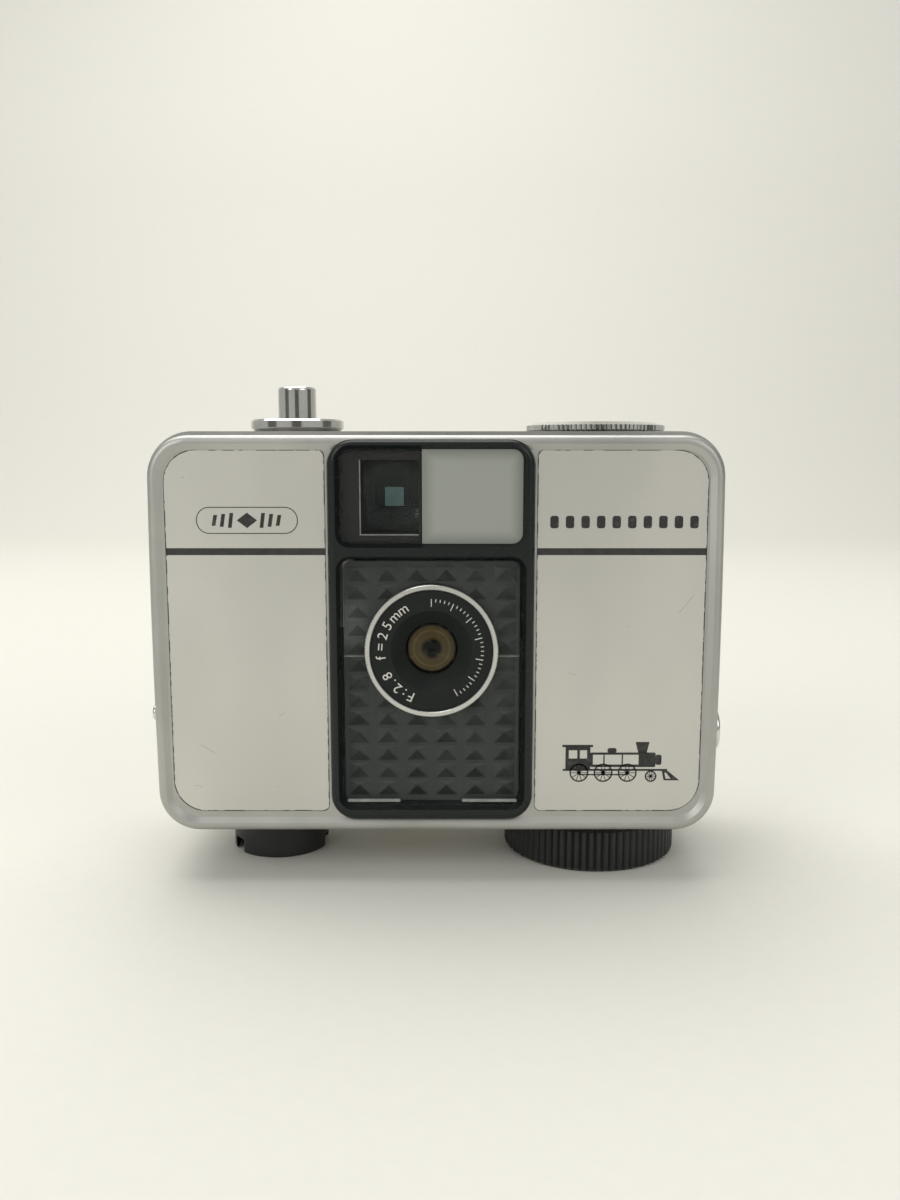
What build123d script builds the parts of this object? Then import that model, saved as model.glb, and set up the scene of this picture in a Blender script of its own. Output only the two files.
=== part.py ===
"""Compact clockwork half frame camera, built as the separate pieces it comes apart into.

Millimetres, +Z up, the front faces -Y and +X is on the right of someone looking at the front.
The origin lies under the middle of the camera, on the surface that its two bottom knobs stand on.
"""

import math
import os

from build123d import *

# ---------------------------------------------------------------- driving dimensions
# body
body_height = 61.5
camera_depth = 34.0
ground_gap = 7.7            # body bottom above the surface, set by the two knobs
chamber_side_gap = 3.75     # film chambers to the sides of the body
spool_side_gap = 5.5
cassette_gate_gap = 12.8    # film chambers to the lens axis
spool_gate_gap = 13.95
corner_radius = 6.8
side_crown = 0.3            # how far each side bows out at mid height
shell_wall = 1.2
lug_reach = 1.7             # how far the strap lug stands out
socket_reach = 1.0          # how far the flash socket stands out

# front bezel and its bead
bezel_depth = 3.2
bezel_inset = 0.6           # bezel edge inside the body edge
bezel_web = 0.8
crest_setback = 0.6         # bead crest behind the foremost face
crest_width = 1.3
bead_slope = 0.85
bead_drop = 0.5
bead_round = 1.0

# face plates
plate_thickness = 0.6
plate_side_margin = 3.25
plate_top_margin = 2.75
plate_bottom_margin = 3.7
plate_corner = 4.8
plate_inner_corner = 1.0
plate_rib = 0.4             # thin rib between a plate and the centre panel

# centre panel
panel_width = 30.7
panel_top_margin = 1.3
panel_bottom_margin = 2.5
panel_corner = 3.8
panel_round = 0.9
opening_width = 27.3
opening_corner = 1.6
opening_bevel = 0.5
finder_opening_height = 14.0
panel_head = 1.3            # panel edge above the finder opening
panel_bar = 2.3             # bar between the two openings
panel_foot = 2.2            # panel edge below the cell opening
panel_ledge = 0.3           # shelf that the finder panes rest against

# light cell window and its pyramids
cell_columns = 6
cell_rows = 13
cell_rim = 0.5
pyramid_height = 0.9
cell_base = 0.9
cell_sink = 0.5             # cover behind the panel face
selenium_thickness = 0.7

# lens
lens_z = 36.5
ring_radius = 10.05
ring_wall = 0.75
ring_bevel = 0.1
ring_depth = 2.2
name_ring_sink = 0.4
name_flat = 3.1             # width of the flat lettered face
name_depth = 3.4
glass_radius = 3.9
barrel_wall = 3.6
housing_radius = 11.3
housing_depth = 4.6
housing_wall = 0.4
housing_setback = 7.5       # shutter housing behind the front face
stop_radius = 3.7
blade_thickness = 0.15
blade_overlap = 0.5
blade_margin = 0.9
blade_pivot_x = 2.2
blade_pivot_z = 8.2
pivot_radius = 0.5
diaphragm_hole = 1.2

# film path
film_setback = 5.8          # film behind the outside of the door
frame_width = 17.0
frame_height = 24.0
chamber_front_gap = 0.5     # film chambers to the back of the bezel
cassette_radius = 13.1
takeup_radius = 12.4
chamber_wall = 1.0
deck_thickness = 1.2
chamber_floor_z = 10.8
roof_drop = 8.2             # chamber roof below the body's top
chassis_setback = 1.1       # back of the chassis in front of the film
film_width = 35.0
perforation_span = 28.2     # between the two rows of perforations
gate_left = 13.4            # gate plate reach on the cassette side of the lens
gate_right = 9.8
gate_plate = 1.0
gate_drop = 6.1             # gate top below the chamber roof
box_bottom = 20.0           # underside of the light box
rail_height = 0.5
rail_width = 1.2
sprocket_offset = 13.75     # sprocket beside the lens axis
sprocket_teeth = 4
perforation_pitch = 4.75
sprocket_tooth = 0.7
sprocket_ring = 2.6         # height of each toothed end
small_shaft_radius = 1.0

# spring motor
spool_radius = 7.0
spool_wall = 1.2
spool_flange_radius = 9.2
spool_flange = 1.2
arbor_radius = 2.5
spring_strip = 0.35
spring_turns = 5
spring_height = 30.0
knob_radius = 14.2
knob_ribs = 75
rib_depth = 0.35
knob_chamfer = 0.7
knob_gap = 0.4              # knobs below the body

# rewind
rewind_radius = 8.0
rewind_shaft_radius = 2.0
fork_reach = 4.0
slot_offset = 6.35          # finger slot from the knob's axis
slot_width = 1.6
slot_depth = 2.4
crank_width = 4.8
crank_thickness = 1.6
crank_lift = 0.3
crank_pivot = 4.6
handle_offset = 3.2
handle_radius = 1.7
handle_length = 3.0
handle_swing = 1.0          # extra pocket length that the handle needs as it swings out
channel_clearance = 0.25

# shutter button
button_offset = 3.95        # button beside the cassette's axis
button_radius = 3.05
button_top = 7.3            # above the body
button_round = 0.55
button_skirt = 0.9          # button end sunk in its collar
button_travel = 2.0
stem_radius = 1.5
collar_radius = 7.45
collar_height = 2.1
collar_rim = 1.3            # straight part of the collar's edge
collar_bevel = 0.85
bush_radius = 4.4
bush_depth = 3.2            # below the body's top
bush_floor = 0.8
arm_thickness = 0.8
cable_hole_radius = 1.2
cable_hole_depth = 3.5

# aperture dial and frame counter
dial_radius = 11.1
dial_plateau = 9.6
dial_height = 1.35
dial_lift = 0.25
dial_edge = 0.75
dial_flutes = 90
dial_flute_depth = 0.25
dial_shaft_radius = 2.0
cam_radius = 6.0
cam_offset = 1.2
counter_offset = 4.25       # counter beside the lens axis, and behind the knob axis
counter_behind = 2.8
counter_drop = 2.8          # counter disc below the body's top
counter_thickness = 0.8
counter_radius = 6.5
counter_teeth = 40
counter_window_radius = 2.4
counter_window_setback = 4.0
finger_gap = 0.2

# viewfinder
finder_offset = 6.1         # finder beside the lens axis
finder_drop = 9.8           # finder axis below the body's top
finder_split = 0.15         # line between the finder and the frosted window
finder_width = 9.2
finder_height = 11.6
finder_wall = 0.7
pane_thickness = 0.8
pane_sink = 0.9             # pane behind the panel face
eyepiece_drop = 10.2
eyepiece_width = 9.6
eyepiece_height = 6.4
eyepiece_rim = 1.0
finder_front_length = 12.0  # wide front tunnel, ahead of the narrow rear one

# back door
door_seam_y = 9.5
door_plate = 1.5
door_setback = 0.8          # door behind the rearmost face
seam_gap = 0.1
hinge_radius = 1.8
pin_radius = 0.8
ear_width = 5.3             # fixed ears that hold the hinge pin
ear_height = 8.8
ear_gap = 0.6
window_gap = 0.35
pressure_width = 20.0
pressure_height = 37.0
pressure_gap = 0.4          # film channel
pressure_travel = 0.6
pressure_plate_thickness = 0.8
guide_radius = 1.0          # studs that the pressure plate slides on
guide_spread = 7.5

# small fittings
tripod_offset = 3.25        # socket beside the lens axis
tripod_y = 2.6
tripod_bore = 3.175         # quarter inch thread
tripod_wall = 2.4
tripod_depth = 5.5
socket_y = -8.0
socket_z = 22.5
socket_radius = 3.6
socket_neck = 3.0
socket_bore = 1.6
contact_radius = 0.5
lug_y = -8.0
lug_z = 25.0
lug_radius = 1.3
lug_eye = 0.5
latch_y = 5.0
latch_z = 40.0
latch_length = 7.0
latch_width = 4.0
latch_neck = 6.0
latch_slot = 2.0
latch_travel = 3.0
catch_inset = 4.0           # door catch inside the body's side
catch_thickness = 0.8
release_offset = 8.25       # rewind release beside the lens axis
release_y = 6.0
release_radius = 1.8
release_stand = 0.8         # button proud of the body's underside
meter_z = 19.3
meter_setback = 5.2         # meter behind the front face
meter_radius = 5.2
meter_depth = 5.0
needle_length = 8.0
screw_radius = 0.8
screw_head = 1.7
screw_head_depth = 0.8
pin_grip = 4.0              # hinge pin inside each ear
case_screw_offsets = [(-11.25, -9.0), (9.25, -9.0), (-11.25, 6.0)]

# clearances
slip = 0.05                 # between fixed pieces, and radially round a shaft
free = 0.3                  # between pieces that move past each other

# ---------------------------------------------------------------- levels worked out from them
front_y = -camera_depth / 2
back_y = camera_depth / 2
crest_y = front_y + crest_setback
bezel_back_y = crest_y + bezel_depth
plate_y = crest_y + bead_drop
web_y = plate_y + plate_thickness
door_y = back_y - door_setback
door_inside_y = door_y - door_plate
body_bottom = ground_gap
body_top = ground_gap + body_height
body_middle = ground_gap + body_height / 2
inside_top = body_top - shell_wall
inside_bottom = body_bottom + shell_wall
chambers = 2 * (cassette_radius + takeup_radius)
gaps = chamber_side_gap + cassette_gate_gap + spool_gate_gap + spool_side_gap
half_width = (chambers + gaps) / 2
cassette_x = -half_width + chamber_side_gap + cassette_radius
lens_x = cassette_x + cassette_radius + cassette_gate_gap
spool_x = lens_x + spool_gate_gap + takeup_radius
axis_y = bezel_back_y + chamber_front_gap + chamber_wall + cassette_radius
film_plane_y = door_y - film_setback
chassis_back_y = film_plane_y - chassis_setback
housing_front_y = front_y + housing_setback
chamber_roof_z = body_top - roof_drop
gate_top = chamber_roof_z - gate_drop
sprocket_x = lens_x + sprocket_offset
button_x = cassette_x + button_offset
counter_x = lens_x + counter_offset
counter_y = axis_y + counter_behind
counter_z = body_top - counter_drop
finder_x = lens_x - finder_offset
finder_z = body_top - finder_drop
eyepiece_z = body_top - eyepiece_drop
finder_step_y = front_y + finder_front_length
tripod_x = lens_x - tripod_offset
release_x = lens_x + release_offset
catch_x = half_width - catch_inset
case_screw_places = [(lens_x + x, y) for x, y in case_screw_offsets]
panel_bottom = body_bottom + panel_bottom_margin
panel_top = body_top - panel_top_margin
finder_opening_top = panel_top - panel_head
bar_top = finder_opening_top - finder_opening_height
cell_top = bar_top - panel_bar
cell_bottom = panel_bottom + panel_foot
deck_top = chamber_roof_z + deck_thickness
ear_face_x = -half_width + ear_width
hinge_x = -half_width + hinge_radius
hinge_y = door_y - hinge_radius
sprocket_radius = sprocket_teeth * perforation_pitch / (2 * math.pi)
sprocket_y = film_plane_y - sprocket_radius
knob_top = body_bottom - knob_gap
panel_back_y = bezel_back_y - 0.4
pane_y = front_y + pane_sink
ledge_y = pane_y + pane_thickness
deck_bottom = chamber_floor_z - deck_thickness
housing_back_y = housing_front_y + housing_depth
gate_y = film_plane_y - rail_height
gate_x = (lens_x - gate_left, lens_x + gate_right)
tripod_radius = tripod_bore + tripod_wall
arm_z = deck_top + button_travel + free
leg_y = (housing_front_y - 3.0, housing_front_y - 2.0)
counter_window_y = counter_y - counter_window_setback
finder_z_span = (finder_z - finder_height / 2, finder_z + finder_height / 2)
finder_span = (bar_top, finder_opening_top)
cell_span = (cell_bottom, cell_top)
cell_back_y = front_y + cell_sink + cell_base + pyramid_height
crank_middle_z = crank_lift + crank_thickness / 2
ring_front_y = front_y + 0.1
ring_back_y = ring_front_y + ring_depth
name_front_y = front_y + name_ring_sink + 0.1
name_back_y = name_front_y + name_depth - 0.9
ring_inner = ring_radius - ring_wall
button_low = body_top + collar_height - button_skirt
finder_outer_x = (finder_x - finder_width / 2 - finder_wall, finder_x + finder_width / 2 + finder_wall)
finder_outer_z = (finder_z_span[0] - finder_wall, finder_z_span[1] + finder_wall)
finder_inner_x = (finder_x - finder_width / 2, finder_x + finder_width / 2)
split_x = finder_inner_x[1]
mask_y = (ledge_y, ledge_y + 0.6)
meter_y = (front_y + meter_setback, front_y + meter_setback + meter_depth)
socket_face_x = half_width + socket_reach
socket_root_x = half_width - 3.0
latch_inner_x = (catch_x + catch_thickness + 0.6, half_width - shell_wall - 0.25)
pressure_y = (film_plane_y + pressure_gap, film_plane_y + pressure_gap + pressure_plate_thickness)
pressure_x = (lens_x - pressure_width / 2, lens_x + pressure_width / 2)

os.makedirs("parts", exist_ok=True)


# ---------------------------------------------------------------- helpers
def block(x, y, z):
    """A box from three (low, high) pairs."""
    size = [high - low for low, high in (x, y, z)]
    middle = [(high + low) / 2 for low, high in (x, y, z)]
    return Pos(*middle) * Box(*size)


def post(x, y, radius, z):
    """A cylinder along Z from a (low, high) pair."""
    return Pos(x, y, (z[0] + z[1]) / 2) * Cylinder(radius, z[1] - z[0])


def rod(x, z, radius, y):
    """A cylinder along Y from a (low, high) pair."""
    return Pos(x, (y[0] + y[1]) / 2, z) * Rot(X=90) * Cylinder(radius, y[1] - y[0])


def stud(y, z, radius, x):
    """A cylinder along X from a (low, high) pair."""
    return Pos((x[0] + x[1]) / 2, y, z) * Rot(Y=90) * Cylinder(radius, x[1] - x[0])


def slab(sketch, front, back):
    """A front-view sketch given thickness from Y front to Y back."""
    return extrude(Plane.XZ.offset(-back) * sketch, back - front)


def disc_z(sketch, low, high):
    """A top-view sketch given thickness from Z low to Z high."""
    return extrude(Plane.XY.offset(low) * sketch, high - low)


def outline(inset=0.0, corner=corner_radius):
    """The body's front-view outline, its sides bowed, drawn in from the edge by inset."""
    w = half_width - inset
    h = body_height / 2 - inset
    edge = w - side_crown
    lines = [
        Line((-edge, h), (edge, h)),
        ThreePointArc((edge, h), (w, 0), (edge, -h)),
        Line((edge, -h), (-edge, -h)),
        ThreePointArc((-edge, -h), (-w, 0), (-edge, h)),
    ]
    face = make_face(lines)
    return Pos(0, body_middle) * fillet(face.vertices(), corner - inset)


def rounded(x, z, radius):
    """A rounded rectangle in the front view from (low, high) pairs."""
    width, height = x[1] - x[0], z[1] - z[0]
    return Pos((x[0] + x[1]) / 2, (z[0] + z[1]) / 2) * RectangleRounded(width, height, radius)


def turned(points, x, z):
    """A solid of revolution round the Y axis through (x, z), from (radius, y) points."""
    profile = make_face(Polyline(*[(r, y) for r, y in points], close=True))
    return Pos(x, 0, z) * revolve(profile, Axis.Y)


def turned_z(points, x, y):
    """A solid of revolution round the Z axis through (x, y), from (radius, z) points."""
    profile = make_face(Polyline(*[(r, 0, z) for r, z in points], close=True))
    return Pos(x, y, 0) * revolve(profile, Axis.Z)


def save(name, shape):
    """Writes one node."""
    export_step(shape, f"parts/{name}.step")


def ribbed_disc(radius, count, depth):
    """A circle with count V grooves, as a top-view sketch."""
    step = 2 * math.pi / count
    points = []
    for i in range(count):
        for share, r in ((0.0, radius), (0.45, radius), (0.72, radius - depth)):
            angle = (i + share) * step
            points.append((r * math.cos(angle), r * math.sin(angle)))
    return make_face(Polyline(*points, close=True))


# ---------------------------------------------------------------- casing
def front_bezel():
    """Pressed front frame: a bead round the edge, a web behind the plates, a hole for the panel."""
    edge = outline(bezel_inset)
    body = slab(edge, crest_y, bezel_back_y)
    front_edges = body.edges().group_by(Axis.Y)[0]
    body = fillet(front_edges, bead_round)
    crest_line = bezel_inset + crest_width
    dish = loft([
        Plane.XZ.offset(-crest_y + 0.01) * outline(crest_line),
        Plane.XZ.offset(-plate_y) * outline(crest_line + bead_slope),
    ])
    hollow = slab(outline(bezel_inset + shell_wall), web_y + bezel_web, bezel_back_y)
    seats = [slab(face_plate_outline(side, -slip), plate_y, web_y) for side in (-1, 1)]
    panel_hole = slab(panel_outline(-slip), front_y, bezel_back_y)
    return body - dish - hollow - seats[0] - seats[1] - panel_hole


def face_plate_outline(side, inset):
    """Front-view outline of the left (-1) or right (1) plate."""
    outer = side * (half_width - plate_side_margin - inset)
    inner = lens_x + side * (panel_width / 2 + plate_rib + inset)
    x = (min(outer, inner), max(outer, inner))
    z = (body_bottom + plate_bottom_margin + inset, body_top - plate_top_margin - inset)
    face = Pos((x[0] + x[1]) / 2, (z[0] + z[1]) / 2) * Rectangle(x[1] - x[0], z[1] - z[0])
    outer_end, inner_end = (0, -1) if side < 0 else (-1, 0)
    face = fillet(face.vertices().group_by(Axis.X)[outer_end], plate_corner - inset)
    return fillet(face.vertices().group_by(Axis.X)[inner_end], plate_inner_corner)


def face_plate(side):
    return slab(face_plate_outline(side, 0), plate_y, web_y)


def panel_outline(inset):
    """Front-view outline of the black centre panel."""
    x = (lens_x - panel_width / 2 + inset, lens_x + panel_width / 2 - inset)
    return rounded(x, (panel_bottom + inset, panel_top - inset), panel_corner - inset)


def opening(z, grow=0.0):
    """One of the panel's openings, front view."""
    x = (lens_x - opening_width / 2 - grow, lens_x + opening_width / 2 + grow)
    return rounded(x, (z[0] - grow, z[1] + grow), opening_corner + grow)



def centre_panel():
    """Black moulding with the finder opening above and the light cell opening below."""
    body = slab(panel_outline(0), front_y, panel_back_y)
    body = fillet(body.edges().group_by(Axis.Y)[0], panel_round)
    for span in (finder_span, cell_span):
        bevel = loft([
            Plane.XZ.offset(-front_y + 0.01) * opening(span, opening_bevel),
            Plane.XZ.offset(-front_y - pane_sink) * opening(span),
        ])
        body = body - bevel - slab(opening(span), front_y, panel_back_y)
    shelf = slab(opening(finder_span, 0.01), ledge_y, panel_back_y)
    shelf -= slab(opening(finder_span, -panel_ledge), ledge_y, panel_back_y)
    return body + shelf


def window_pane():
    """Clear pane in front of the finder."""
    return finder_sheet((-half_width, split_x))


def frosted_window():
    """Frosted pane that fills the rest of the opening."""
    return finder_sheet((split_x + finder_split, half_width))


def finder_sheet(x):
    """Part of a thin sheet cut to the finder opening, between two X values."""
    sheet = slab(opening(finder_span, -slip), pane_y, ledge_y - slip)
    return sheet & block(x, (pane_y, ledge_y), finder_span)


def cell_window():
    """Clear cover of the light cell: smooth in front, a grid of pyramids behind, open round the lens."""
    back = cell_back_y
    groove_y = back - pyramid_height
    body = slab(opening(cell_span, -slip), front_y + cell_sink, back)
    x0 = lens_x - opening_width / 2 + cell_rim
    z0 = cell_bottom + cell_rim
    column = (opening_width - 2 * cell_rim) / cell_columns
    row = (cell_top - cell_bottom - 2 * cell_rim) / cell_rows
    cuts = []
    for i in range(cell_columns + 1):
        x = x0 + i * column
        groove = Polyline((x - column / 2, back), (x + column / 2, back), (x, groove_y), close=True)
        solid = extrude(make_face(groove), cell_top - cell_bottom + 2 * cell_rim)
        cuts.append(Pos(0, 0, cell_bottom - cell_rim) * solid)
    for i in range(cell_rows + 1):
        z = z0 + i * row
        line = Polyline((back, z - row / 2), (back, z + row / 2), (groove_y, z), close=True)
        solid = extrude(Plane.YZ * make_face(line), opening_width + 2 * cell_rim)
        cuts.append(Pos(lens_x - opening_width / 2 - cell_rim, 0, 0) * solid)
    grid = body - cuts
    return grid - rod(lens_x, lens_z, ring_radius + slip, (front_y, bezel_back_y))


def selenium_cell():
    """Light cell plate behind its window."""
    y = cell_back_y + slip
    plate = slab(opening(cell_span, -0.6), y, y + selenium_thickness)
    return plate - rod(lens_x, lens_z, ring_radius + slip, (front_y, 0))


def hinge_ear(z):
    """Solid corner of the shell that holds one end of the hinge pin."""
    region = block((-half_width - 1, ear_face_x), (door_seam_y, door_y), z)
    return slab(outline(), door_seam_y, door_y) & region


def body_shell():
    """Wrap-round middle of the case, with all the holes for controls."""
    tube = slab(outline(), bezel_back_y, door_seam_y) - slab(
        outline(shell_wall), bezel_back_y, door_seam_y)
    ears = [
        hinge_ear((body_top - ear_height, body_top)),
        hinge_ear((body_bottom, body_bottom + ear_height)),
    ]
    wall_back = hinge_y - hinge_radius - free
    between = (body_bottom + ear_height - 0.01, body_top - ear_height + 0.01)
    side = slab(outline(), door_seam_y - 0.01, wall_back)
    side = side - slab(outline(shell_wall), door_seam_y - 0.01, wall_back)
    side = side & block((-half_width - 1, ear_face_x), (0, wall_back), between)
    body = tube + ears[0] + ears[1] + side
    pin_span = (body_bottom + ear_height - pin_grip, body_top - ear_height + pin_grip)
    body -= post(hinge_x, hinge_y, pin_radius + slip, pin_span)
    top = (inside_top - 1, body_top + 1)
    body -= post(button_x, axis_y, bush_radius + slip, top)
    body -= post(spool_x, axis_y, dial_shaft_radius + slip, top)
    body -= post(counter_x, counter_window_y, counter_window_radius + slip, top)
    bottom = (body_bottom - 1, inside_bottom + 1)
    body -= post(cassette_x, axis_y, rewind_shaft_radius + slip, bottom)
    body -= post(spool_x, axis_y, arbor_radius + slip, bottom)
    body -= post(tripod_x, tripod_y, tripod_radius + slip, bottom)
    body -= post(release_x, release_y, release_radius + slip, bottom)
    body -= screw_holes(inside_bottom)
    right = (half_width - 2 * shell_wall, half_width + 1)
    left = (-half_width - 1, -half_width + 2 * shell_wall)
    body -= stud(socket_y, socket_z, socket_neck + slip, right)
    body -= stud(lug_y, lug_z, lug_radius + slip, left)
    slot_y = (latch_y - latch_slot / 2, latch_y + latch_slot / 2)
    slot_z = (latch_z - latch_neck / 2 - latch_travel - free, latch_z + latch_neck / 2 + free)
    return body - block(right, slot_y, slot_z)


def screw_holes(top):
    """Shank and head holes of the case screws, up to the given height."""
    holes = []
    for x, y in case_screw_places:
        holes.append(post(x, y, screw_radius + slip, (body_bottom, top)))
        holes.append(post(x, y, screw_head + slip, (body_bottom - 1, body_bottom + screw_head_depth)))
    return holes


def back_door():
    """Hinged back: plate, flange on three sides, hinge barrel, and a hole for the eyepiece."""
    plate = slab(outline(), door_inside_y, door_y)
    plate = fillet(plate.edges().group_by(Axis.Y)[-1], 0.8)
    rim = slab(outline(), door_seam_y + seam_gap, door_inside_y + 0.01)
    rim -= slab(outline(shell_wall), door_seam_y, door_inside_y + 0.01)
    keep_x = ear_face_x + ear_gap
    rim = rim & block((keep_x, half_width + 1), (0, back_y), (0, body_top + 1))
    z_low = body_bottom + ear_height + 0.15
    z_high = body_top - ear_height - 0.15
    tall = block((keep_x, half_width + 1), (0, back_y), (0, body_top + 1))
    middle = block((hinge_x, half_width), (0, back_y), (z_low, z_high))
    body = (plate & (tall + middle)) + rim + post(hinge_x, hinge_y, hinge_radius, (z_low, z_high))
    body -= post(hinge_x, hinge_y, pin_radius + slip, (0, body_top))
    body -= block(*eyepiece_box(window_gap))
    studs = guide_studs(guide_radius, (pressure_y[0] + slip, door_inside_y + slip))
    return body + catch_tab() + studs


def catch_tab():
    """Door catch, notched from below for the nose of the latch."""
    x = (catch_x, catch_x + catch_thickness)
    z = (latch_z - 1.0, latch_z + 3.0)
    tab = block(x, (latch_y - 1.0, door_inside_y + 0.01), z)
    return tab - block(x, nose_y_span(free), (z[0], latch_z + 1.4))


def nose_y_span(grow):
    return latch_y + 0.1 - grow, latch_y + 1.1 + grow


def eyepiece_box(grow):
    """Space of the eyepiece frame where it passes through the door."""
    x = (finder_x - eyepiece_width / 2 - grow, finder_x + eyepiece_width / 2 + grow)
    z = (eyepiece_z - eyepiece_height / 2 - grow, eyepiece_z + eyepiece_height / 2 + grow)
    return x, (door_inside_y - 1, back_y + grow), z


def hinge_pin():
    span = (body_bottom + ear_height - pin_grip + slip, body_top - ear_height + pin_grip - slip)
    return post(hinge_x, hinge_y, pin_radius, span)


def light_seals():
    """Foam strips inside the top and bottom of the door."""
    strips = []
    for z in ((inside_top - 1.3, inside_top - slip), (inside_bottom + slip, inside_bottom + 1.3)):
        x = (ear_face_x + 2, half_width - corner_radius)
        strips.append(block(x, (door_seam_y + 2.0, door_inside_y - slip), z))
    return Compound(strips)


# ---------------------------------------------------------------- chassis and film path
def casting():
    """The whole inner frame: two film chambers, light box, film gate with rails, and both decks."""
    full = (deck_bottom, deck_top)
    cassette_wall = post(cassette_x, axis_y, cassette_radius + chamber_wall, full)
    takeup_wall = post(spool_x, axis_y, takeup_radius + chamber_wall, full)
    deck_x = (cassette_x - cassette_radius, spool_x + takeup_radius)
    deck_y = (leg_y[1] + free, chassis_back_y)
    floor = block(deck_x, deck_y, (deck_bottom, chamber_floor_z))
    roof = block(deck_x, deck_y, (chamber_roof_z, deck_top))
    box_front = housing_back_y + slip
    light_box = block(gate_x, (box_front, gate_y), (box_bottom, gate_top))
    web = block((gate_x[0], spool_x - takeup_radius + 2), (box_front, box_front + 1),
                (deck_bottom, gate_top))
    gate = block(gate_x, (gate_y - gate_plate, gate_y), (deck_bottom, gate_top))
    body = cassette_wall + takeup_wall + floor + roof + light_box + web + gate
    body = body & slab(outline(shell_wall + 0.2), front_y, gate_y)
    body -= block((-half_width, gate_x[0]), (chassis_back_y, back_y), full)
    body -= block((gate_x[1], half_width), (chassis_back_y, back_y), full)
    body += rails()
    room = (chamber_floor_z, chamber_roof_z)
    body -= post(cassette_x, axis_y, cassette_radius, room)
    body -= block((cassette_x - cassette_radius, gate_x[0]), (axis_y, back_y), room)
    body -= post(spool_x, axis_y, takeup_radius, room)
    body -= block((gate_x[1], spool_x + takeup_radius), (axis_y, back_y), room)
    body -= loft([
        Plane.XZ.offset(-box_front) * Pos(lens_x, lens_z) * Rectangle(frame_width - 4, frame_height - 9),
        Plane.XZ.offset(-film_plane_y) * Pos(lens_x, lens_z) * Rectangle(frame_width, frame_height),
    ])
    notch = finder_width / 2 + finder_wall + free
    body -= block((finder_x - notch - 0.6, finder_x + notch + 0.6), (front_y, back_y),
                  (gate_top, deck_top + 1))
    floor_span = (deck_bottom - 1, chamber_floor_z + 1)
    body -= post(cassette_x, axis_y, rewind_shaft_radius + slip, floor_span)
    body -= post(tripod_x, tripod_y, tripod_radius + slip, floor_span)
    body -= post(release_x, release_y, release_radius + slip, floor_span)
    tall = (deck_bottom - 1, deck_top + 1)
    body -= post(spool_x, axis_y, arbor_radius + slip, tall)
    body -= post(sprocket_x, sprocket_y, small_shaft_radius + slip, tall)
    body -= post(counter_x, counter_y, small_shaft_radius + slip, (chamber_roof_z, deck_top + 1))
    for x, y in case_screw_places:
        body += post(x, y, screw_head + 0.6, (inside_bottom + slip, deck_bottom + 0.01))
    return body - screw_holes(chamber_floor_z)


def gate_zone(grow):
    """Space between the decks that the film gate fills."""
    x = (gate_x[0] - grow, gate_x[1] + grow)
    return block(x, (front_y, back_y), (chamber_floor_z - grow, chamber_roof_z + grow))


def rails():
    """Film rails above and below the frame."""
    strips = []
    for offset in (frame_height / 2 + 1.5, film_width / 2 + 0.4):
        for side in (-1, 1):
            z = lens_z + side * offset
            strips.append(block(gate_x, (gate_y - 0.01, film_plane_y),
                                (z - rail_width / 2, z + rail_width / 2)))
    return strips


def sprocket():
    """Film sprocket, one turn a frame, with the finger that steps the counter."""
    shaft = post(sprocket_x, sprocket_y, small_shaft_radius, (deck_bottom + 0.2, counter_z + 1.0))
    body = shaft
    for side in (-1, 1):
        z = lens_z + side * perforation_span / 2
        ring = post(sprocket_x, sprocket_y, sprocket_radius, (z - sprocket_ring / 2, z + sprocket_ring / 2))
        reach = sprocket_radius + sprocket_tooth
        for i in range(sprocket_teeth):
            tooth = block((0, reach), (-0.6, 0.6), (z - 0.8, z + 0.8))
            angle = (i + 0.5) * 360 / sprocket_teeth
            ring += Pos(sprocket_x, sprocket_y, 0) * Rot(Z=angle) * tooth
        body += ring
    waist = lens_z - perforation_span / 2, lens_z + perforation_span / 2
    body += post(sprocket_x, sprocket_y, sprocket_radius - 0.8, waist)
    between = math.dist((sprocket_x, sprocket_y), (counter_x, counter_y))
    finger = block((-(between - counter_radius - finger_gap), 0), (-0.4, 0.4),
                   (counter_z, counter_z + counter_thickness))
    angle = math.degrees(math.atan2(sprocket_y - counter_y, sprocket_x - counter_x))
    return body + Pos(sprocket_x, sprocket_y, 0) * Rot(Z=angle) * finger



def counter_disc():
    """Toothed frame counter under the top window."""
    wheel = disc_z(ribbed_disc(counter_radius, counter_teeth, 0.4), counter_z,
                   counter_z + counter_thickness)
    return Pos(counter_x, counter_y, 0) * wheel + post(
        counter_x, counter_y, small_shaft_radius, (chamber_roof_z + 0.1, counter_z + 0.4))


def counter_window():
    z = (inside_top - 0.4, body_top)
    lens = post(counter_x, counter_window_y, counter_window_radius, z)
    return lens + post(counter_x, counter_window_y, counter_window_radius + 0.6,
                       (inside_top - 0.4, inside_top - slip))


def take_up_spool():
    """Hollow take-up drum round the mainspring, with two film flanges."""
    low = lens_z - film_width / 2 - 0.6
    high = lens_z + film_width / 2 + 0.6
    body = post(spool_x, axis_y, spool_radius, (low - spool_flange, high + spool_flange))
    for z in (low - spool_flange, high):
        body += post(spool_x, axis_y, spool_flange_radius, (z, z + spool_flange))
    body -= post(spool_x, axis_y, spool_radius - spool_wall, (low, high))
    body -= post(spool_x, axis_y, arbor_radius + slip, (0, body_top))
    slot = block((-0.6, 0.6), (0, spool_radius + 1), (lens_z - 12, lens_z + 12))
    return body - Pos(spool_x, axis_y, 0) * Rot(Z=150) * slot


def winding_arbor():
    return post(spool_x, axis_y, arbor_radius, (knob_top - 3.0, deck_top - 0.2))


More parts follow.
